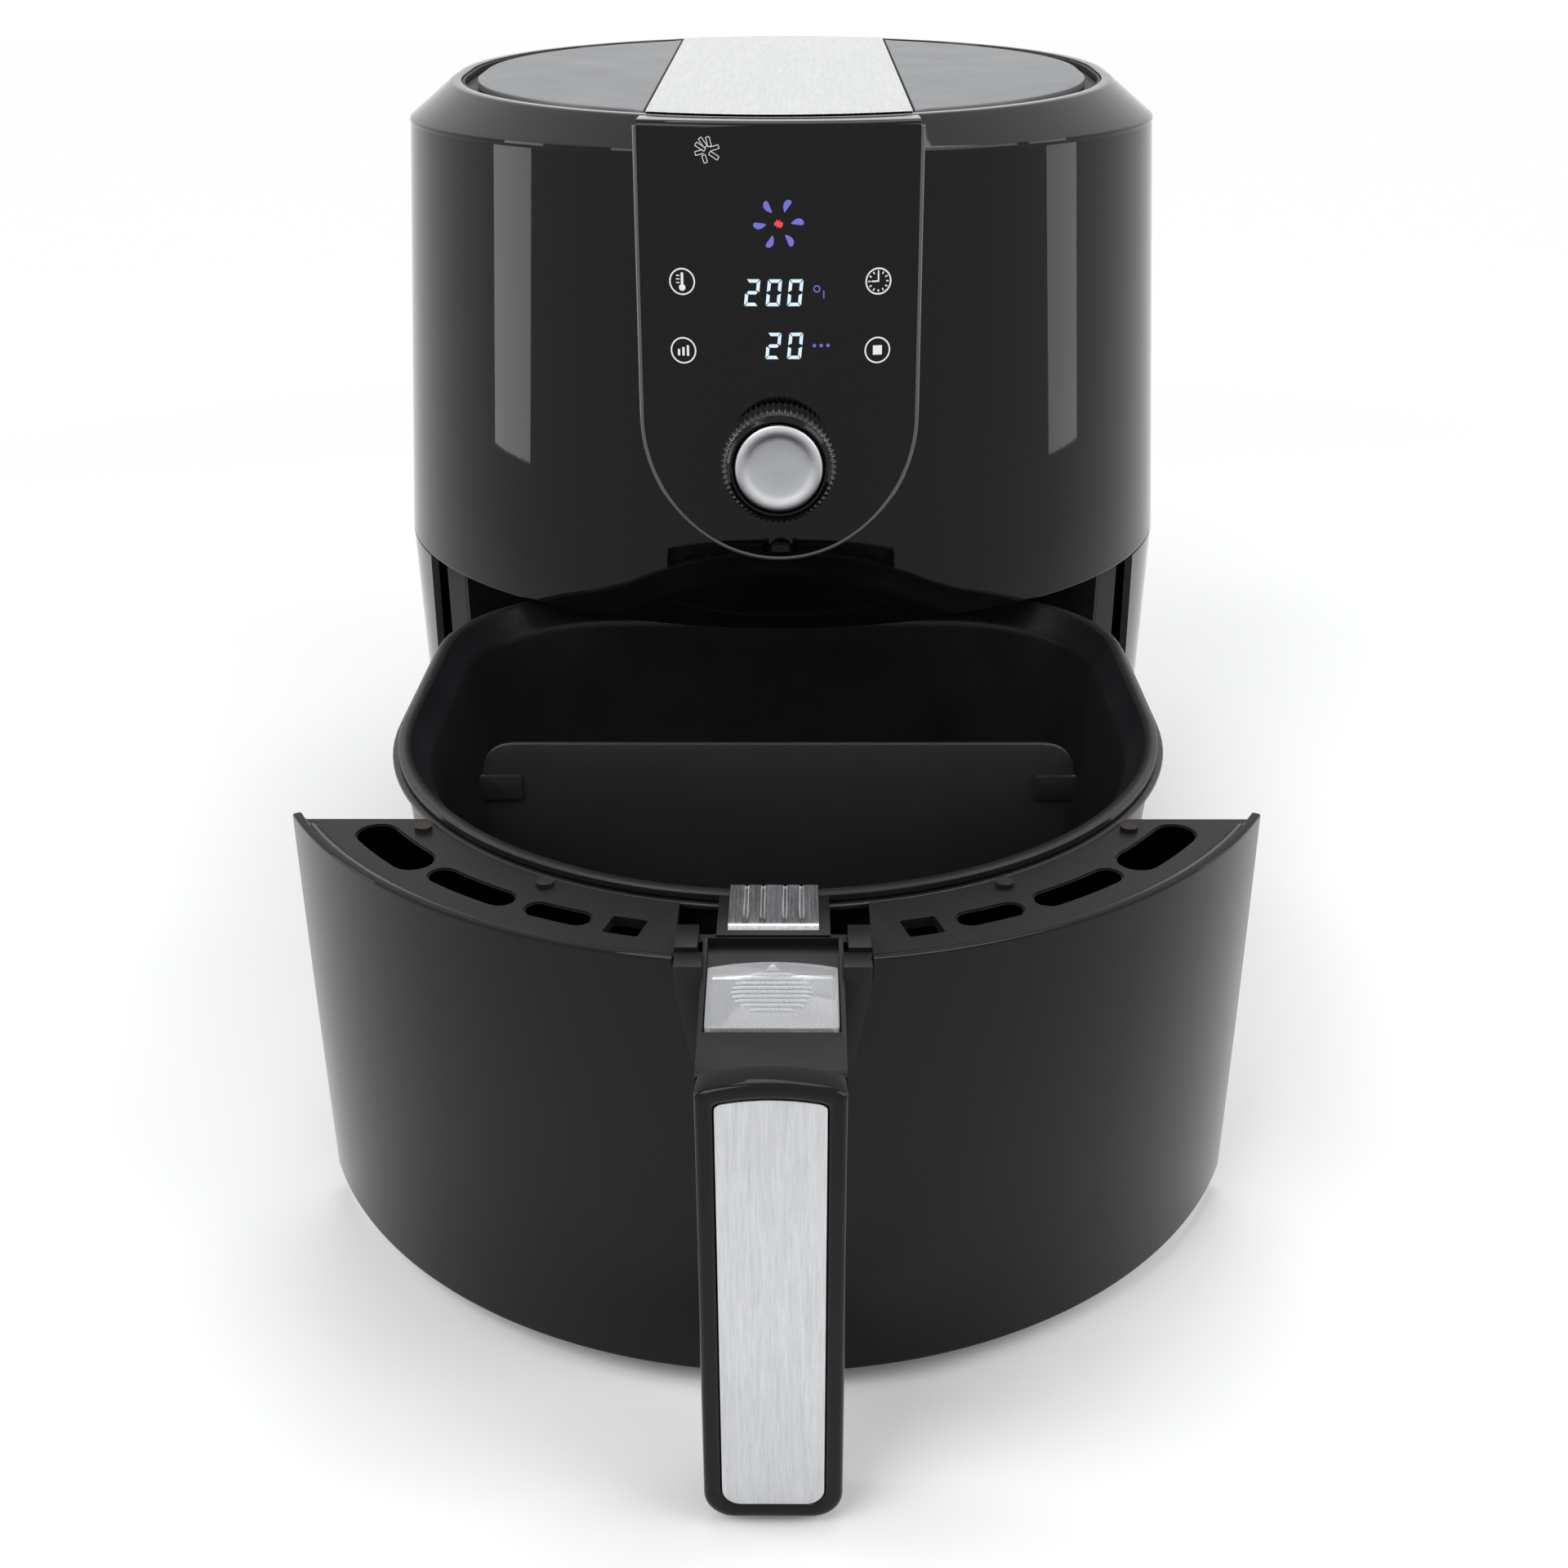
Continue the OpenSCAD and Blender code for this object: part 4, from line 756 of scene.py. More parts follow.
turned("cap_button", [(0.0, cb)] + [(CAP_R - 0.1, cb), (CAP_R, cb - 0.4), (CAP_R, cf + 1.0),
    (CAP_R - 0.25, cf + 0.5), (CAP_R - 0.6, cf + 0.18),
                                    (CAP_R - 1.1, cf + 0.02), (CAP_R - 2.2, cf), (CAP_R - 3.0, cf + 0.08),
                                    (CAP_R - 4.1, cf + 0.38)] + list(reversed(dish)),
       (0, DIAL_Z), cap_silver, "cap", ["push_cap"], sharp=35)

# ---- Drawer front ----
# The curved front of the drawer matches the housing when shut. Its gloss skin leans back at both
# ends. A satin lip and a slotted matt deck close the space between the skin and the pan.

OPEN = 1000 * -0.236
grey_lip = matt("grey_lip", (0.03, 0.031, 0.035), 0.22, 1500, 0.05, 0.6)
front_box = corners("drawer_fascia")
LIP_Z = front_box[1][2]
NOTCH = corners("handle_bracket")[1][0]


def front_wall(t, o, z):
    """Drawer front: t runs from -1 on the left to 1 on the right; its ends lean with height."""
    r = body_radius(z) + o
    end = math.acos((-FRONT_LEN - rear_end(z)) / body_radius(z))
    a = end * t
    return (r * math.sin(a), -FRONT_LEN - r * math.cos(a) + OPEN, z)


def thin_wall(low, high, steps, t, r):
    """A wall section with a soft outer edge and a thin bevel behind it at the top."""
    heights = [low + (high - low) * i / steps for i in range(1, steps)]
    return ([(-r, low), (-0.3 * r, low + 0.3 * r), (0, low + r),
        (0, low + r + 0.4)] + [(0, z) for z in heights] +
            [(0, high - r - 0.4), (0, high - r), (-0.3 * r, high - 0.3 * r), (-r, high), (-t + 0.3, high),
            (-t, high - 0.3)] + [(-t, z) for z in reversed(heights)] + [(-t, low)])


ends = [-1, -0.9985, -0.995]
drawer_skin = sweep("drawer_front", ends + [-0.99 + 1.98 * i / 140 for i in range(141)] + [0.995, 0.9985, 1],
    thin_wall(SKIRT, LIP_Z, 9, 2.6, 0.55),
                    front_wall, piano_black, "drawer", ["drawer_fascia"])


def carve(target, shapes):
    """Cuts closed prisms out of a piece; a shape is (outline in two axes, from, to, axis)."""
    knives = bmesh.new()
    for outline, low, high, axis in shapes:
        rings = []
        for depth in (low, high):
            rings.append([knives.verts.new(Vector((u, v, depth) if axis == "Z" else (u, depth,
                v)) * 0.001) for u, v in outline])
        knives.faces.new(rings[0])
        knives.faces.new(rings[1])
        for i in range(len(outline)):
            j = (i + 1) % len(outline)
            knives.faces.new((rings[0][i], rings[0][j], rings[1][j], rings[1][i]))
    bmesh.ops.recalc_face_normals(knives, faces=knives.faces)
    mesh = bpy.data.meshes.new("knife")
    knives.to_mesh(mesh)
    knives.free()
    knife = bpy.data.objects.new("knife", mesh)
    bpy.context.scene.collection.objects.link(knife)
    cut = target.modifiers.new("cut", "BOOLEAN")
    cut.object, cut.operation, cut.solver = knife, "DIFFERENCE", "EXACT"
    with bpy.context.temp_override(object=target, active_object=target):
        bpy.ops.object.modifier_apply(modifier="cut")
    bpy.data.objects.remove(knife)
    target.data.shade_smooth()
    target.data.set_sharp_from_angle(angle=math.radians(30))


carve(bpy.data.objects["rear_upper_shell"],
    [([(-37.9, 205.1), (37.9, 205.1), (37.9, 270.9), (-37.9, 270.9)], 120, 168, "Y")])
notch = rounded([(-21.4, 115.6), (21.4, 115.6), (25.9, 140.5), (25.9, 170), (-25.9, 170), (-25.9, 140.5)],
    [2.5, 2.5, 2, 0, 0, 2])
carve(drawer_skin, [(notch, -460, -370, "Y")])

deck_box = corners("fascia_deck")
DECK_Z = deck_box[1][2]
deck_matt = matt("deck_matt", (0.007, 0.007, 0.008), 0.42, 1300, 0.3, 0.22)
deck_r = min(body_radius(DECK_Z), body_radius(DECK_Z - 3)) - 2.6
pan_box = corners("pan")
PAN, PAN_BACK, RIM_Z = pan_box[1][0] - 3, pan_box[1][1] - 3 - OPEN, pan_box[1][2]
deck_in = PAN + 3.5
deck_back = deck_box[1][1] - OPEN


def deck_place(t, o, z):
    """A point across the deck: o from 0 at the pan to 1 at the drawer front."""
    r = deck_in + (deck_r - deck_in) * o
    end = math.acos((-FRONT_LEN - deck_back) / r)
    a = -end + 2 * end * t
    return (r * math.sin(a), -FRONT_LEN - r * math.cos(a) + OPEN, z)


deck = sweep("slotted_deck", [i / 90 for i in range(91)],
             [(0.0, DECK_Z - 3), (0.0, DECK_Z - 0.5), (0.015, DECK_Z - 0.1), (0.04, DECK_Z), (0.97, DECK_Z),
             (1.0, DECK_Z - 0.1), (1.0, DECK_Z - 3)],
             deck_place, deck_matt, "drawer", ["fascia_deck"])
mid_r = (PAN + 3 + body_radius(DECK_Z) - 2.6) / 2 + 0.5
holes = [(rounded([(-25.9, -420), (25.9, -420), (25.9, -300), (-25.9, -300)], 1.5), DECK_Z - 5, DECK_Z + 5,
    "Z")]
for side in (-1, 1):
    for a0, a1, w in ((46, 54.5, 12), (31.5, 40.5, 8), (21.5, 26.5, 7)):
        for grow, low, high in ((0.0, DECK_Z - 5, DECK_Z - 0.45), (0.55, DECK_Z - 0.45, DECK_Z + 3)):
            h = w / 2 + grow
            outline = []
            for i in range(13):
                a = math.radians(a0 + (a1 - a0) * i / 12)
                outline.append((side * (mid_r + h) * math.sin(a),
                    -FRONT_LEN - (mid_r + h) * math.cos(a) + OPEN))
            for end, sign in ((a1, 1), (a0, -1)):
                a = math.radians(end)
                cx, cy = mid_r * math.sin(a), -FRONT_LEN - mid_r * math.cos(a) + OPEN
                for k in range(1, 8):
                    b = math.pi * k / 8
                    rad = math.cos(b) * (1 if sign > 0 else -1)
                    tan = math.sin(b) * sign
                    outline.append((side * (cx + h * (rad * math.sin(a) + tan * math.cos(a))),
                                    cy + h * (-rad * math.cos(a) + tan * math.sin(a))))
                if sign > 0:
                    for i in range(13):
                        q = math.radians(a1 + (a0 - a1) * i / 12)
                        outline.append((side * (mid_r - h) * math.sin(q),
                            -FRONT_LEN - (mid_r - h) * math.cos(q) + OPEN))
            holes.append((outline, low, high, "Z"))
    a = math.radians(16)
    cx, cy = side * mid_r * math.sin(a), -FRONT_LEN - mid_r * math.cos(a) + OPEN
    ux, uy, vx, vy = math.cos(a), side * math.sin(a), -side * math.sin(a), math.cos(a)
    box = rounded([(cx + ux * i + vx * j, cy + uy * i + vy * j) for i,
        j in ((-5, -4.5), (5, -4.5), (5, 4.5), (-5, 4.5))], 0.8)
    holes.append((box, DECK_Z - 5, DECK_Z + 3, "Z"))
carve(deck, holes)

lip_top = corners("fascia_trim")[1][2]
lip_out = body_radius(DECK_Z) - 2.6 - 0.2


def lip_place(t, o, z):
    """The lip runs from the drawer front's end to the bracket on one side."""
    r = lip_out + o
    end = math.acos((-FRONT_LEN - (front_box[1][1] - OPEN - 15.5)) / r) - 0.03
    start = math.asin((NOTCH + 0.45) / r)
    a = start + (end - start) * abs(t)
    return (math.copysign(r * math.sin(a), t), -FRONT_LEN - r * math.cos(a) + OPEN, z)


lip_section = [(0, DECK_Z), (0, lip_top - 0.3), (-0.3, lip_top), (-1.1, lip_top), (-1.5, lip_top - 0.15),
    (-3.0, DECK_Z + 0.7), (-3.1, DECK_Z)]
for side, name in ((-1, "drawer_lip_left"), (1, "drawer_lip_right")):
    sweep(name, [side * (0.0005 + 0.9995 * i / 60) for i in range(61)], lip_section, lip_place, grey_lip,
        "drawer", ["fascia_trim"])

# ---- Pan ----
# The pan is deep-drawn sheet steel with a dark non-stick coat, like its basket. Its walls taper,
# and its edge is rolled outwards into a narrow flat rim.

CORNER = 60.0


def pan_stations():
    """Round the pan from the front: each gives centre and direction of an offset outline."""
    out = []
    for i in range(61):
        a = math.radians(-90 + 3 * i)
        out.append((0.0, -FRONT_LEN, math.sin(a), -math.cos(a), PAN))
    x, y = PAN - CORNER, PAN_BACK - CORNER
    for i in range(21):
        a = math.radians(4.5 * i)
        out.append((x, y, math.cos(a), math.sin(a), CORNER))
    for i in range(21):
        a = math.radians(90 + 4.5 * i)
        out.append((-x, y, math.cos(a), math.sin(a), CORNER))
    return out


def on_pan(station, o, z):
    """A point of the pan's outline, o outside the rim line."""
    cx, cy, dx, dy, r = station
    return (cx + (r + o) * dx, cy + (r + o) * dy + OPEN, z)


pan_coat, skin, bsdf = blank("pan_coat")
at = skin.node("TexCoord", out="Object")
speck = skin.node("TexVoronoi", out="Distance", Vector=at, Scale=1500.0)
flecks = (speck < 0.16) * (at.noise(500, (1, 1, 1), 1) > 0.56)
peel = at.noise(520, (1, 1, 1), 3, 0.55)
wear = at.noise(30, (1, 1, 1), 4, 0.6)
finish(bsdf, Base_Color=(flecks * 0.6 + wear * 0.25).mix((0.005, 0.005, 0.006), (0.035, 0.036, 0.040)),
       Roughness=wear * 0.12 + peel * 0.1 + 0.24, Specular_IOR_Level=0.34,
       Normal=skin.node("Bump", Height=peel + flecks * 0.1, Strength=0.16, Distance=0.0004))
low = pan_box[0][2]
pan_section = [(3.0, RIM_Z - 0.7), (2.85, RIM_Z - 0.25), (2.4, RIM_Z), (0.4, RIM_Z), (-0.5, RIM_Z - 0.25),
    (-1.2, RIM_Z - 0.9), (-1.6, RIM_Z - 2.4)]
pan_section += [(-1.6 - 9.0 * i / 8, RIM_Z - 2.4 - (RIM_Z - 2.4 - low - 9) * i / 8) for i in range(1, 9)]
pan_section += [(-12.4, low + 5), (-15.5, low + 2.2), (-21, low + 1.5), (-59.9, low + 1.5), (-59.9, low),
    (-21, low), (-15.2, low + 0.5), (-11.6, low + 3.4), (-10.0, low + 7.5)]
pan_section += [(-9.6 + 9.2 * i / 7, low + 9 + (RIM_Z - 3.6 - low - 9) * i / 7) for i in range(0, 8)]
pan_section += [(-0.2, RIM_Z - 2.4), (0.3, RIM_Z - 1.7), (1.2, RIM_Z - 1.55), (2.6, RIM_Z - 1.6),
    (2.95, RIM_Z - 1.3)]
pan_lines = pan_stations()
shell = sweep("pan_shell", pan_lines, pan_section, on_pan, pan_coat, "drawer", closed=True,
    sharp=30)
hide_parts("pan")
inner = [on_pan(s, -59.5, low + 1.45) for s in pan_lines]
outer = [on_pan(s, -59.5, low + 0.05) for s in pan_lines]
n = len(pan_lines)
piece("pan_floor", inner + outer, [tuple(range(n)),
    tuple(range(n, 2 * n))] + [(i, (i + 1) % n, n + (i + 1) % n, n + i) for i in range(n)],
      pan_coat, "drawer", ["pan"])

# ---- Basket ----
# The basket is a thinner drawn shell. Its neck flares out to hang on the pan's rim, and a punched
# plate is crimped into its foot so that hot air comes up through the food.

basket_box = corners("basket")
TOP, FOOT = basket_box[1][2], basket_box[0][2]
NECK = TOP - 9.0
basket_section = [(1.2, TOP - 1.4), (1.1, TOP - 0.5), (0.6, TOP - 0.08), (0.0, TOP), (-2.2, TOP - 0.1),
    (-2.9, TOP - 0.5), (-3.4, TOP - 1.4), (-4.4, TOP - 3.6),
                  (-6.6, TOP - 6.6), (-8.3, NECK + 0.6), (-8.8, NECK - 0.6), (-9.0, NECK - 2.5)]
basket_section += [(-9.0 - 7.4 * i / 9, NECK - 2.5 - (NECK - 2.5 - FOOT - 3) * i / 9) for i in range(1, 10)]
basket_section += [(-16.75, FOOT + 1.7), (-16.75, FOOT), (-15.5, FOOT), (-15.2, FOOT + 3)]
basket_section += [(-15.2 + 7.3 * i / 8, FOOT + 3 + (NECK - 3 - FOOT - 3) * i / 8) for i in range(1, 9)]
basket_section += [(-7.4, NECK - 0.4), (-5.4, NECK + 2.2), (-3.0, TOP - 4.2), (-2.2, TOP - 2.7),
    (-1.0, TOP - 2.6), (0.8, TOP - 2.55), (1.15, TOP - 2.2)]
sweep("basket_shell", pan_lines, basket_section, on_pan, pan_coat, "drawer", ["basket"],
    closed=True, sharp=30)

# ---- Divider ----
# A coated sheet parts the basket in two. Its top corners are round, and clips riveted to its
# face hook over the seam of the basket wall so that it can be lifted out.

divider_box, clip_box = corners("divider_plate"), corners("divider_clips")
d_hw, d_low, d_high = divider_box[1][0], divider_box[0][2], divider_box[1][2]
d_front, d_back = divider_box[0][1], divider_box[1][1]
divider_coat = matt("divider_coat", (0.018, 0.018, 0.020), 0.46, 1100, 0.16, 0.3, 0.2)


def slab(name, outline, front_y, back_y, edge, material, body, stands_for=(), sharp=30, rings=None,
         place=lambda u, v, d: (u, d, v)):
    """A flat part seen from the front: outline in (x, z), with softened front and back edges."""

    def inset_by(d):
        out, count = [], len(outline)
        for i in range(count):
            a, b, c = Vector(outline[i - 1]), Vector(outline[i]), Vector(outline[(i + 1) % count])
            u, v = (b - a).normalized(), (c - b).normalized()
            normal = Vector((-(u.y + v.y), u.x + v.x))
            if normal.length < 1e-6:
                normal = Vector((-u.y, u.x))
            normal.normalize()
            scale = 1 / max(0.5, normal.dot(Vector((-u.y, u.x))))
            out.append(b + normal * d * scale)
        return out

    area = sum(outline[i - 1][0] * outline[i][1] - outline[i][0] * outline[i - 1][1] for i in range(len(outline)))
    sign = 1 if area > 0 else -1
    rings = rings or ((edge, front_y), (edge * 0.3, front_y + edge * 0.3), (0, front_y + edge),
        (0, back_y - edge),
                      (edge * 0.3, back_y - edge * 0.3), (edge, back_y))
    n, m = len(outline), len(rings)
    points = [place(p.x, p.y, y) for d, y in rings for p in inset_by(sign * d)]
    faces = [(k * n + i, k * n + (i + 1) % n, (k + 1) * n + (i + 1) % n,
        (k + 1) * n + i) for k in range(m - 1) for i in range(n)]
    faces += [tuple(range(n)), tuple(range((m - 1) * n, m * n))]
    return piece(name, points, faces, material, body, stands_for, sharp)


d_shape = rounded([(-d_hw, d_low), (d_hw, d_low), (d_hw, d_high), (-d_hw, d_high)], [1, 1, 12, 12], 8)
slab("divider_sheet", d_shape, d_front, d_back, 0.35, divider_coat, "drawer",
    ["divider_plate"])
for side, name in ((-1, "divider_clip_left"), (1, "divider_clip_right")):
    x0, x1 = sorted((side * clip_box[1][0], side * (clip_box[1][0] - 14)))
    z0, z1 = clip_box[0][2], clip_box[1][2]
    slab(name, rounded([(x0, z0), (x1, z0), (x1, z1), (x0, z1)], 1.3, 4), clip_box[0][1], clip_box[1][1], 0.3,
        divider_coat, "drawer",
         ["divider_clips"])

# ---- Handle bracket ----
# The bracket fills the notch in the drawer front and carries the handle. It is a matt moulding
# with ears, a cross bar and a tongue under the basket's clip, and a sloping nose for the release.

bracket_matt = matt("bracket_matt", (0.006, 0.006, 0.007), 0.42, 1300, 0.28, 0.22)
SLOPE = math.radians(9)
FRONT_Y = -(body_radius(LIP_Z) + FRONT_LEN)
SLOPE_Y, SLOPE_Z = FRONT_Y + 4, LIP_Z - 2
GRIP_Y = corners("handle_bezel")[0][1] - OPEN
ARM = 18.3


def slope_at(x, s, h):
    """A point on the sloping nose: s along it, h above it."""
    return (x, SLOPE_Y + s * math.cos(SLOPE) - h * math.sin(SLOPE) + OPEN,
        SLOPE_Z + s * math.sin(SLOPE) + h * math.cos(SLOPE))


def soften(target, width=0.5, segments=3, angle=32):
    """Rounds every crisp edge of a finished piece."""
    edge = target.modifiers.new("edge", "BEVEL")
    edge.width, edge.segments, edge.limit_method, edge.angle_limit = width * 0.001, segments, "ANGLE", math.radians(angle)
    edge.use_clamp_overlap = True
    with bpy.context.temp_override(object=target, active_object=target):
        bpy.ops.object.modifier_apply(modifier="edge")
    target.data.shade_smooth()
    target.data.set_sharp_from_angle(angle=math.radians(40))


def side_profile(name, outline, half, material, body, stands_for):
    """A part drawn from the side in (y, z), as wide as twice half."""
    n = len(outline)
    points = [(x, y + OPEN, z) for x in (-half, half) for y, z in outline]
    faces = [tuple(range(n)), tuple(range(n, 2 * n))] + [(i, (i + 1) % n, n + (i + 1) % n,
        n + i) for i in range(n)]
    return piece(name, points, faces, material, body, stands_for)


nose = side_profile("bracket_nose", rounded([(SLOPE_Y + 10, LIP_Z - 14),
    (SLOPE_Y + 10, SLOPE_Z + 10 * math.tan(SLOPE)),
                                             (GRIP_Y + 8, SLOPE_Z - (SLOPE_Y - GRIP_Y - 8) * math.tan(SLOPE)),
                                             (GRIP_Y + 8, 116), (FRONT_Y + 4, 116),
                                             (FRONT_Y + 4, LIP_Z - 14)], [0.5, 0.5, 3, 0.5, 3, 0.5], 5), ARM,
                                             bracket_matt, "drawer",
                    ["handle_bracket"])
COVER, COVER_LEN = 16.7, 25.6
recess = [slope_at(0, s, h)[1:] for s, h in ((9.6, -3), (9.6, 12), (-COVER_LEN - 1.4, 12),
    (-COVER_LEN - 1.4, -3))]
pocket = [slope_at(0, s, h)[1:] for s, h in ((0.2 - COVER_LEN + 13.8, -9), (0.2 - COVER_LEN + 13.8, 12),
    (0.2 - COVER_LEN, 12), (0.2 - COVER_LEN, -9))]


def carve_across(target, outline, half):
    """Cuts a prism that runs across the part, drawn in (y, z)."""
    mesh = bpy.data.meshes.new("knife")
    n = len(outline)
    mesh.from_pydata([Vector((x, y, z)) * 0.001 for x in (-half, half) for y, z in outline], [],
                     [tuple(range(n)), tuple(range(n, 2 * n))] + [(i, (i + 1) % n, n + (i + 1) % n,
                     n + i) for i in range(n)])
    knife = bpy.data.objects.new("knife", mesh)
    bpy.context.scene.collection.objects.link(knife)
    cut = bmesh.new()
    cut.from_mesh(mesh)
    bmesh.ops.recalc_face_normals(cut, faces=cut.faces)
    cut.to_mesh(mesh)
    cut.free()
    hole = target.modifiers.new("cut", "BOOLEAN")
    hole.object, hole.operation, hole.solver = knife, "DIFFERENCE", "EXACT"
    with bpy.context.temp_override(object=target, active_object=target):
        bpy.ops.object.modifier_apply(modifier="cut")
    bpy.data.objects.remove(knife)


carve_across(nose, recess, COVER + 0.4)
carve_across(nose, pocket, 11.4)
soften(nose, 0.45)
wing_shape = rounded([(-21, 116), (21, 116), (25.5, LIP_Z - 6), (25.5, LIP_Z), (-25.5, LIP_Z),
    (-25.5, LIP_Z - 6)], [2.5, 2.5, 2, 0.8, 0.8, 2])
wings = slab("bracket_wings", wing_shape, FRONT_Y - 2 + OPEN, FRONT_Y + 6 + OPEN, 0.6, bracket_matt, "drawer",
    ["handle_bracket"])
carve(wings, [([(-ARM + 0.2, 130), (ARM - 0.2, 130), (ARM - 0.2, 170), (-ARM + 0.2, 170)],
    FRONT_Y - 20 + OPEN, FRONT_Y + 20 + OPEN, "Y")])


def block(name, low, high, material, body, stands_for, edge=0.5):
    """A moulded bar or ear between two corners, with rounded edges."""
    outline = [(low[0], low[2]), (high[0], low[2]), (high[0], high[2]), (low[0], high[2])]
    made = slab(name, outline, low[1] + OPEN, high[1] + OPEN, 0.01, material, body, stands_for)
    soften(made, edge)
    return made


bar = block("bracket_cross_bar", (-NOTCH, SLOPE_Y + 10, LIP_Z - 9), (NOTCH, SLOPE_Y + 14, LIP_Z - 2),
    bracket_matt, "drawer", ["handle_bracket"])
carve(bar, [(rounded([(-13, LIP_Z - 7.2), (13, LIP_Z - 7.2), (13, LIP_Z - 3.8), (-13, LIP_Z - 3.8)], 0.8),
    SLOPE_Y + 5 + OPEN, SLOPE_Y + 12.6 + OPEN, "Y")])
for side, name in ((-1, "bracket_ear_left"), (1, "bracket_ear_right")):
    x0, x1 = sorted((side * (NOTCH - 6), side * NOTCH))
    block(name, (x0, SLOPE_Y + 2, LIP_Z - 9), (x1, SLOPE_Y + 14, LIP_Z + 1), bracket_matt, "drawer",
        ["handle_bracket"], 0.7)
block("bracket_tongue", (-15, SLOPE_Y + 12, DECK_Z + 0.1), (15, -(FRONT_LEN + PAN) - 1.6, TOP), bracket_matt,
    "drawer", ["handle_bracket"], 0.3)

# ---- Basket clip ----
# A strap of thin stainless sheet hooks over the tongue and keeps the basket down. Four beads are
# pressed along it for stiffness, and its front edge is rolled down.

clip_box = corners("basket_clip")
clip_top, clip_front, clip_rear = clip_box[1][2], clip_box[0][1], clip_box[1][1]
clip_steel = brushed("clip_steel", (0.55, 0.55, 0.56), "Y", 0.24, 0.3)
across = [-12 + 24 * i / 64 for i in range(65)]


def bead(x):
    """Depth of the pressed beads at a place across the strap."""
    return -sum(0.62 * math.exp(-((x - c) / 0.42) ** 4) for c in (-7.5, -3, 3, 7.5))


clip_section = [(x, bead(x)) for x in across] + [(12.0, -0.75), (-12.0, -0.75)]
path = [(clip_rear, clip_top, 0.0, 1.0), (clip_rear - 0.6, clip_top, 0.0, 1.0)]
path += [(clip_rear - 0.6 - (clip_rear - clip_front - 2.6) * i / 10, clip_top, 0, 1) for i in range(1, 11)]
for i in range(1, 7):
    a = math.pi / 2 * i / 6
    path.append((clip_front + 1.6 - 1.6 * math.sin(a), clip_top - 1.6 * (1 - math.cos(a)), -math.sin(a),
        math.cos(a)))
path.append((clip_front, clip_box[0][2] + 0.2, -1.0, 0.0))


def clip_point(t, x, h):
    """The beads fade out before the roll at the front."""
    y, z, ny, nz = t
    k = max(0.0, min(1.0, (y - clip_front - 2.5) / 2.5))
    h = h * k if h > -0.7 else h
    return (x, y + ny * h, z + nz * h)


sweep("basket_strap", path, clip_section, clip_point, clip_steel, "drawer", ["basket_clip"],
    sharp=45)

# ---- Release ----
# A clear sliding cover guards the gloss black button that frees the basket. The cover has ridges
# for the thumb and a moulded arrow, and its back edge is arched.

clear_plastic, skin, bsdf = blank("clear_plastic")
at = skin.node("TexCoord", out="Object")
haze = at.noise(160, (1, 1, 1), 4, 0.6)
finish(bsdf, Base_Color=haze.mix((0.86, 0.87, 0.89), (0.97, 0.98, 1.0)), Roughness=haze * 0.1 + 0.03,
    Transmission_Weight=0.78, IOR=1.46,
       Normal=skin.node("Bump", Height=haze, Strength=0.05, Distance=0.0005))
frosted_plastic, skin, bsdf = blank("frosted_plastic")
at = skin.node("TexCoord", out="Object")
frost = at.noise(2400, (1, 1, 1), 3, 0.6)
finish(bsdf, Base_Color=frost.mix((0.74, 0.75, 0.77), (0.90, 0.91, 0.93)), Roughness=frost * 0.2 + 0.2,
    Transmission_Weight=0.5, IOR=1.46,
       Normal=skin.node("Bump", Height=frost, Strength=0.1, Distance=0.0002))


def cover_place(x, s, d):
    return slope_at(x, s - 0.4, -d)


arch = [(COVER - 2 * COVER * i / 24, -62 + math.sqrt(62 ** 2 - (COVER - 2 * COVER * i / 24) ** 2)) for i in range(25)]
cover_shape = rounded([(-COVER, -COVER_LEN), (COVER, -COVER_LEN)] + [arch[0]] + arch[1:-1:2] + [arch[-1]],
    [1.5, 1.5, 2.2] + [0.3] * 12 + [2.2], 4)
cover = slab("cover_plate", cover_shape, -0.4, 2.2, 0.35, clear_plastic, "cover", ["release_cover"],
    place=cover_place)
under = bpy.data.meshes.new("knife")
hollow = [cover_place(x, s, d) for d in (0.75, 4.0) for x,
    s in ((-COVER + 1.6, -COVER_LEN + 1.6), (COVER - 1.6, -COVER_LEN + 1.6), (COVER - 1.6, -4.9),
    (-COVER + 1.6, -4.9))]
under.from_pydata([Vector(p) * 0.001 for p in hollow], [],
    [(0, 1, 2, 3), (7, 6, 5, 4), (0, 4, 5, 1), (1, 5, 6, 2), (2, 6, 7, 3), (3, 7, 4, 0)])
knife = bpy.data.objects.new("knife", under)
bpy.context.scene.collection.objects.link(knife)
turned_out = bmesh.new()
turned_out.from_mesh(under)
bmesh.ops.recalc_face_normals(turned_out, faces=turned_out.faces)
turned_out.to_mesh(under)
turned_out.free()
hole = cover.modifiers.new("hollow", "BOOLEAN")
hole.object, hole.operation, hole.solver = knife, "DIFFERENCE", "EXACT"
with bpy.context.temp_override(object=cover, active_object=cover):
    bpy.ops.object.modifier_apply(modifier="hollow")
bpy.data.objects.remove(knife)
ridge_points, ridge_faces = [], []
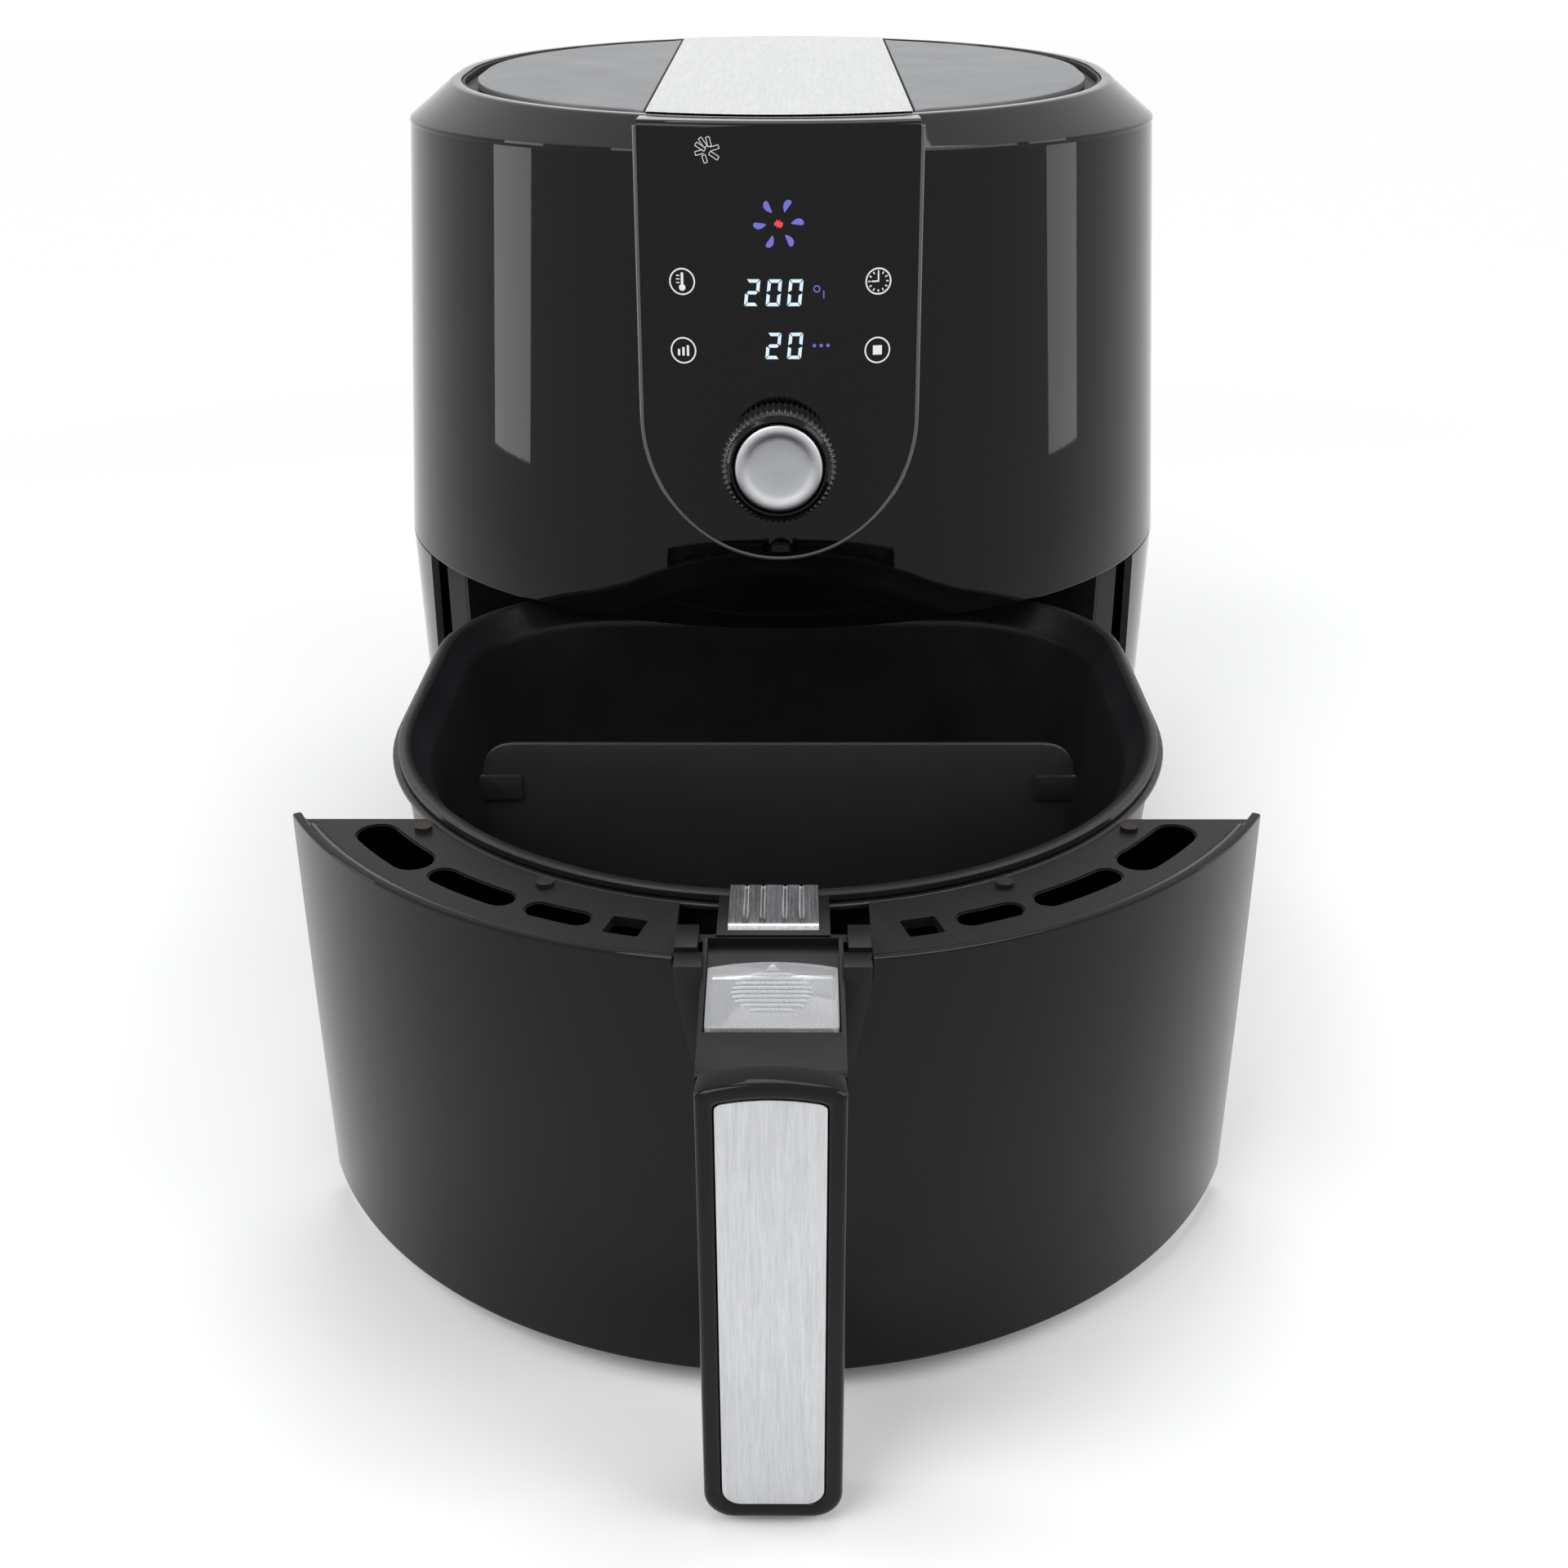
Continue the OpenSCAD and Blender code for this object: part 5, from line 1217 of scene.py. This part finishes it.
for i in range(9):
    s0 = -5.3 - i * 1.7
    half = 10.4 * math.sqrt(max(0.1, 1 - ((s0 + 12.1) / 8) ** 2))
    rows_here = []
    for k in range(13):
        x = -half + 2 * half * k / 12
        lift = 0.6 * min(1, (half - abs(x)) / 1.2 + 0.02)
        rows_here.append([slope_at(x, s0 - 0.4 + 0.45 * math.cos(b),
            0.38 + lift * math.sin(b)) for b in [math.pi * j / 6 for j in range(7)]])
    base = len(ridge_points)
    ridge_points += [p for row in rows_here for p in row]
    ridge_faces += [(base + a * 7 + j, base + a * 7 + (j + 1) % 7, base + (a + 1) * 7 + (j + 1) % 7,
        base + (a + 1) * 7 + j) for a in range(12) for j in range(7)]
    ridge_faces += [tuple(base + j for j in range(7)), tuple(base + 84 + j for j in range(7))]
piece("cover_ridges", ridge_points, ridge_faces, frosted_plastic, "cover")
mark_points, mark_faces = [], []
for outline in ([(-1.1, -2.5), (1.1, -2.5), (0, -1.2)],
    [(-1.4, -3.1), (1.4, -3.1), (1.4, -2.85), (-1.4, -2.85)],
    [(-1.9, -3.8), (1.9, -3.8), (1.9, -3.55), (-1.9, -3.55)]):
    base, n = len(mark_points), len(outline)
    mark_points += [slope_at(x, s - 0.4, h) for h in (0.36, 0.62) for x, s in outline]
    mark_faces += [tuple(base + n + j for j in range(n)), tuple(base + j for j in range(n))]
    mark_faces += [(base + j, base + (j + 1) % n, base + n + (j + 1) % n, base + n + j) for j in range(n)]
piece("cover_arrow", mark_points, mark_faces, frosted_plastic, "cover")

scoop = []
for s in [0.6 - COVER_LEN + 13 * i / 20 for i in range(21)]:
    h = -2.7 if abs(s + 18.5) > 5.4 else min(-2.7, 15.3 - math.sqrt(18.8 ** 2 - (s + 18.5) ** 2))
    scoop.append((s, h))


def scoop_place(t, x, h):
    s, top = t
    rim = max(0.0, min(1.0, (10.4 - abs(x)) / 1.6))
    return slope_at(x, s, (-2.72 + (top + 2.7) * rim) if h > 0.5 else (-5.9 if h < -0.5 else -3.1))


sweep("release_key", scoop, [(-11, 0), (-10.7, 1)] + [(-10.4 + 20.8 * i / 24, 1) for i in range(25)] + [(10.7,
    1), (11, 0), (11, -1), (-11, -1)],
      scoop_place, dial_gloss, "button", ["release_button"], sharp=45)

# ---- Handle ----
# The handle is a gloss black frame round a brushed stainless plate, screwed to the bracket, with
# a soft-touch back half for the fingers. Its top is arched and its foot has full corners.

grip_box = corners("handle_bezel")
GRIP, GRIP_LOW, GRIP_TOP = grip_box[1][0], grip_box[0][2], grip_box[1][2]


def grip_outline(inset, top=None):
    """Outline of the handle in (x, z), going round from the lower left."""
    hw, zb, zt, rc = GRIP - inset, GRIP_LOW + inset, GRIP_TOP - inset, 8 - inset * 0.6
    out = [(-hw + rc - rc * math.sin(a), zb + rc - rc * math.cos(a)) for a in [math.pi / 2 * (1 - i / 10) for i in range(11)]]
    out += [(hw - rc + rc * math.sin(a), zb + rc - rc * math.cos(a)) for a in [math.pi / 2 * i / 10 for i in range(11)]]
    shoulder = zt - 60 + math.sqrt(60 ** 2 - hw ** 2)
    cap = 1.8
    out += [(hw, zb + rc + (shoulder - cap - zb - rc) * i / 10) for i in range(1, 11)]
    arc = [(hw * math.cos(math.pi * i / 30), 0) for i in range(1, 30)]
    arc = [(x, zt - 60 + math.sqrt(60 ** 2 - x * x) - cap * 0.45 * max(0,
        (abs(x) / hw - 0.86) / 0.14) ** 2) for x, _ in arc]
    out += arc
    out += [(-hw, zb + rc + (shoulder - cap - zb - rc) * (1 - i / 10)) for i in range(10)]
    return out


outer_line, inner_line = grip_outline(0), grip_outline(4.6)
count = len(outer_line)
frame_section = [(0.0, 7.8), (0.0, 1.6), (0.05, 0.9), (0.14, 0.38), (0.28, 0.08), (0.45, 0.0), (0.7, 0.05),
    (0.86, 0.25), (0.95, 0.6), (1.0, 1.0), (1.05, 1.6), (1.6, 1.6), (1.6, 7.8)]


def frame_point(i, share, depth):
    (x0, z0), (x1, z1) = outer_line[i], inner_line[i]
    return (x0 + (x1 - x0) * share, GRIP_Y + depth + OPEN, z0 + (z1 - z0) * share)


handle_black = gloss("handle_black", (0.0025, 0.0025, 0.003), 0.003, 0.035)
sweep("handle_frame", range(count), frame_section, frame_point, handle_black, "drawer",
    ["handle_bezel"], closed=True, sharp=50)
inlay_steel = brushed("inlay_steel", (0.60, 0.605, 0.62), "Z", 0.30, 0.2)
inlay_line = grip_outline(4.75)
slab("handle_plate", inlay_line, 0, 0, 0, inlay_steel, "drawer", ["handle_inlay"], sharp=45,
     rings=[(0.5, GRIP_Y + 0.42 + OPEN), (0.15, GRIP_Y + 0.5 + OPEN), (0.0, GRIP_Y + 0.75 + OPEN),
     (0.0, GRIP_Y + 1.5 + OPEN)])
soft_grip = matt("soft_grip", (0.010, 0.010, 0.011), 0.62, 1700, 0.22, 0.25)
core_line = [(x, z) for x, z in grip_outline(0.8) if z < 112]
high_z = corners("handle_core")[1][2]
split = max(range(len(core_line)), key=lambda i: (core_line[i][0] > 0) * core_line[i][1])
core_line = core_line[:split + 1] + [(GRIP - 0.8, high_z), (-GRIP + 0.8, high_z)] + core_line[split + 1:]
slab("handle_soft_back", core_line, 0, 0, 0, soft_grip, "drawer", ["handle_core"], sharp=45,
     rings=[(1.2, GRIP_Y + 8 + OPEN), (0.25, GRIP_Y + 8.15 + OPEN), (0.0, GRIP_Y + 8.6 + OPEN),
     (0.0, GRIP_Y + 13 + OPEN), (0.4, GRIP_Y + 15 + OPEN),
            (1.3, GRIP_Y + 16.8 + OPEN), (2.8, GRIP_Y + 18.2 + OPEN), (4.8, GRIP_Y + 19 + OPEN)])

# ---- Parts kept from the construction model ----
# Screws, fan, heater, boards, chamber, base and feet already have their real shapes. Each keeps
# its mesh and takes the finish of what it is made of.


def dress(material, *nodes):
    """Puts a material in the slot of each named CAD node."""
    for node in nodes:
        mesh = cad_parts[node].data
        if len(mesh.materials):
            mesh.materials[0] = material
        else:
            mesh.materials.append(material)


def metal(name, colour, rough, streak=0.2, tarnish=0.0, grain=900, warm=(0.45, 0.30, 0.16)):
    """Sheet or turned metal: fine streaks, soft stains, and browned areas where it gets hot."""
    made, skin, bsdf = blank(name)
    at = skin.node("TexCoord", out="Object")
    streaks = at.noise(grain, (1, 1, 0.1), 4, 0.6)
    stains = at.noise(22, (1, 1, 1), 4, 0.62)
    clean = streaks.mix(tuple(c * (1 - streak) for c in colour), colour)
    finish(bsdf, Base_Color=(stains * tarnish).mix(clean, warm), Metallic=1.0,
        Roughness=stains * 0.2 + streaks * 0.08 + (rough - 0.12),
           Normal=skin.node("Bump", Height=streaks, Strength=0.15, Distance=0.0002))
    return made


dress(matt("frame_grey", (0.055, 0.056, 0.060), 0.45, 1200, 0.22, 0.35), "drawer_frame")
dress(matt("base_black", (0.012, 0.012, 0.013), 0.55, 1200, 0.3, 0.3), "base_plate", "rear_grille",
    "cord_gland")
dress(matt("foot_rubber", (0.018, 0.018, 0.018), 0.8, 1500, 0.35, 0.2, 0.4), "feet")
dress(metal("zinc_screw", (0.62, 0.62, 0.60), 0.38, 0.25, 0.15), "base_screws", "handle_screws",
    "dial_encoder", "cap_stem", "fan_shaft")
dress(metal("black_screw", (0.03, 0.03, 0.033), 0.45, 0.3, 0.1), "deck_screws")
dress(metal("aluminised_steel", (0.56, 0.56, 0.55), 0.42, 0.3, 0.35, 500), "cooking_chamber", "heater_posts",
    "motor_bridge")
dress(metal("heater_sheath", (0.20, 0.17, 0.15), 0.5, 0.4, 0.55, 700, (0.16, 0.09, 0.05)), "heater_coil")
dress(metal("guard_wire", (0.64, 0.64, 0.65), 0.28, 0.2, 0.15), "heater_guard")
dress(metal("motor_steel", (0.42, 0.43, 0.44), 0.4, 0.3, 0.12), "fan_motor")
dress(metal("fan_aluminium", (0.70, 0.71, 0.72), 0.36, 0.22, 0.1), "hot_fan")
dress(matt("fan_nylon", (0.045, 0.045, 0.048), 0.5, 900, 0.2, 0.4), "cooling_fan")
dress(matt("ceramic", (0.72, 0.70, 0.65), 0.42, 700, 0.15, 0.5, 0.2), "thermal_cutout")
dress(matt("light_box_white", (0.70, 0.71, 0.70), 0.5, 900, 0.12, 0.4, 0.12), "display_block")
dress(matt("switch_black", (0.02, 0.02, 0.022), 0.5, 900, 0.2, 0.35), "power_parts", "door_switch")
dress(matt("signal_red", (0.42, 0.03, 0.02), 0.4, 900, 0.12, 0.45, 0.2), "switch_plunger")
dress(matt("punched_coat", (0.014, 0.014, 0.016), 0.42, 1000, 0.16, 0.35), "basket_floor_plate")
board, skin, bsdf = blank("circuit_board")
at = skin.node("TexCoord", out="Object")
tracks = skin.node("TexVoronoi", out="Distance", settings={"feature": "DISTANCE_TO_EDGE"}, Vector=at,
    Scale=420.0) < 0.09
weave = at.noise(1800, (1, 1, 1), 2)
finish(bsdf, Base_Color=(tracks * 0.6 + weave * 0.2).mix((0.010, 0.075, 0.030), (0.05, 0.20, 0.09)),
    Roughness=weave * 0.2 + 0.3,
       Normal=skin.node("Bump", Height=tracks * 0.5 + weave * 0.2, Strength=0.2, Distance=0.0002))
dress(board, "display_board", "power_board")
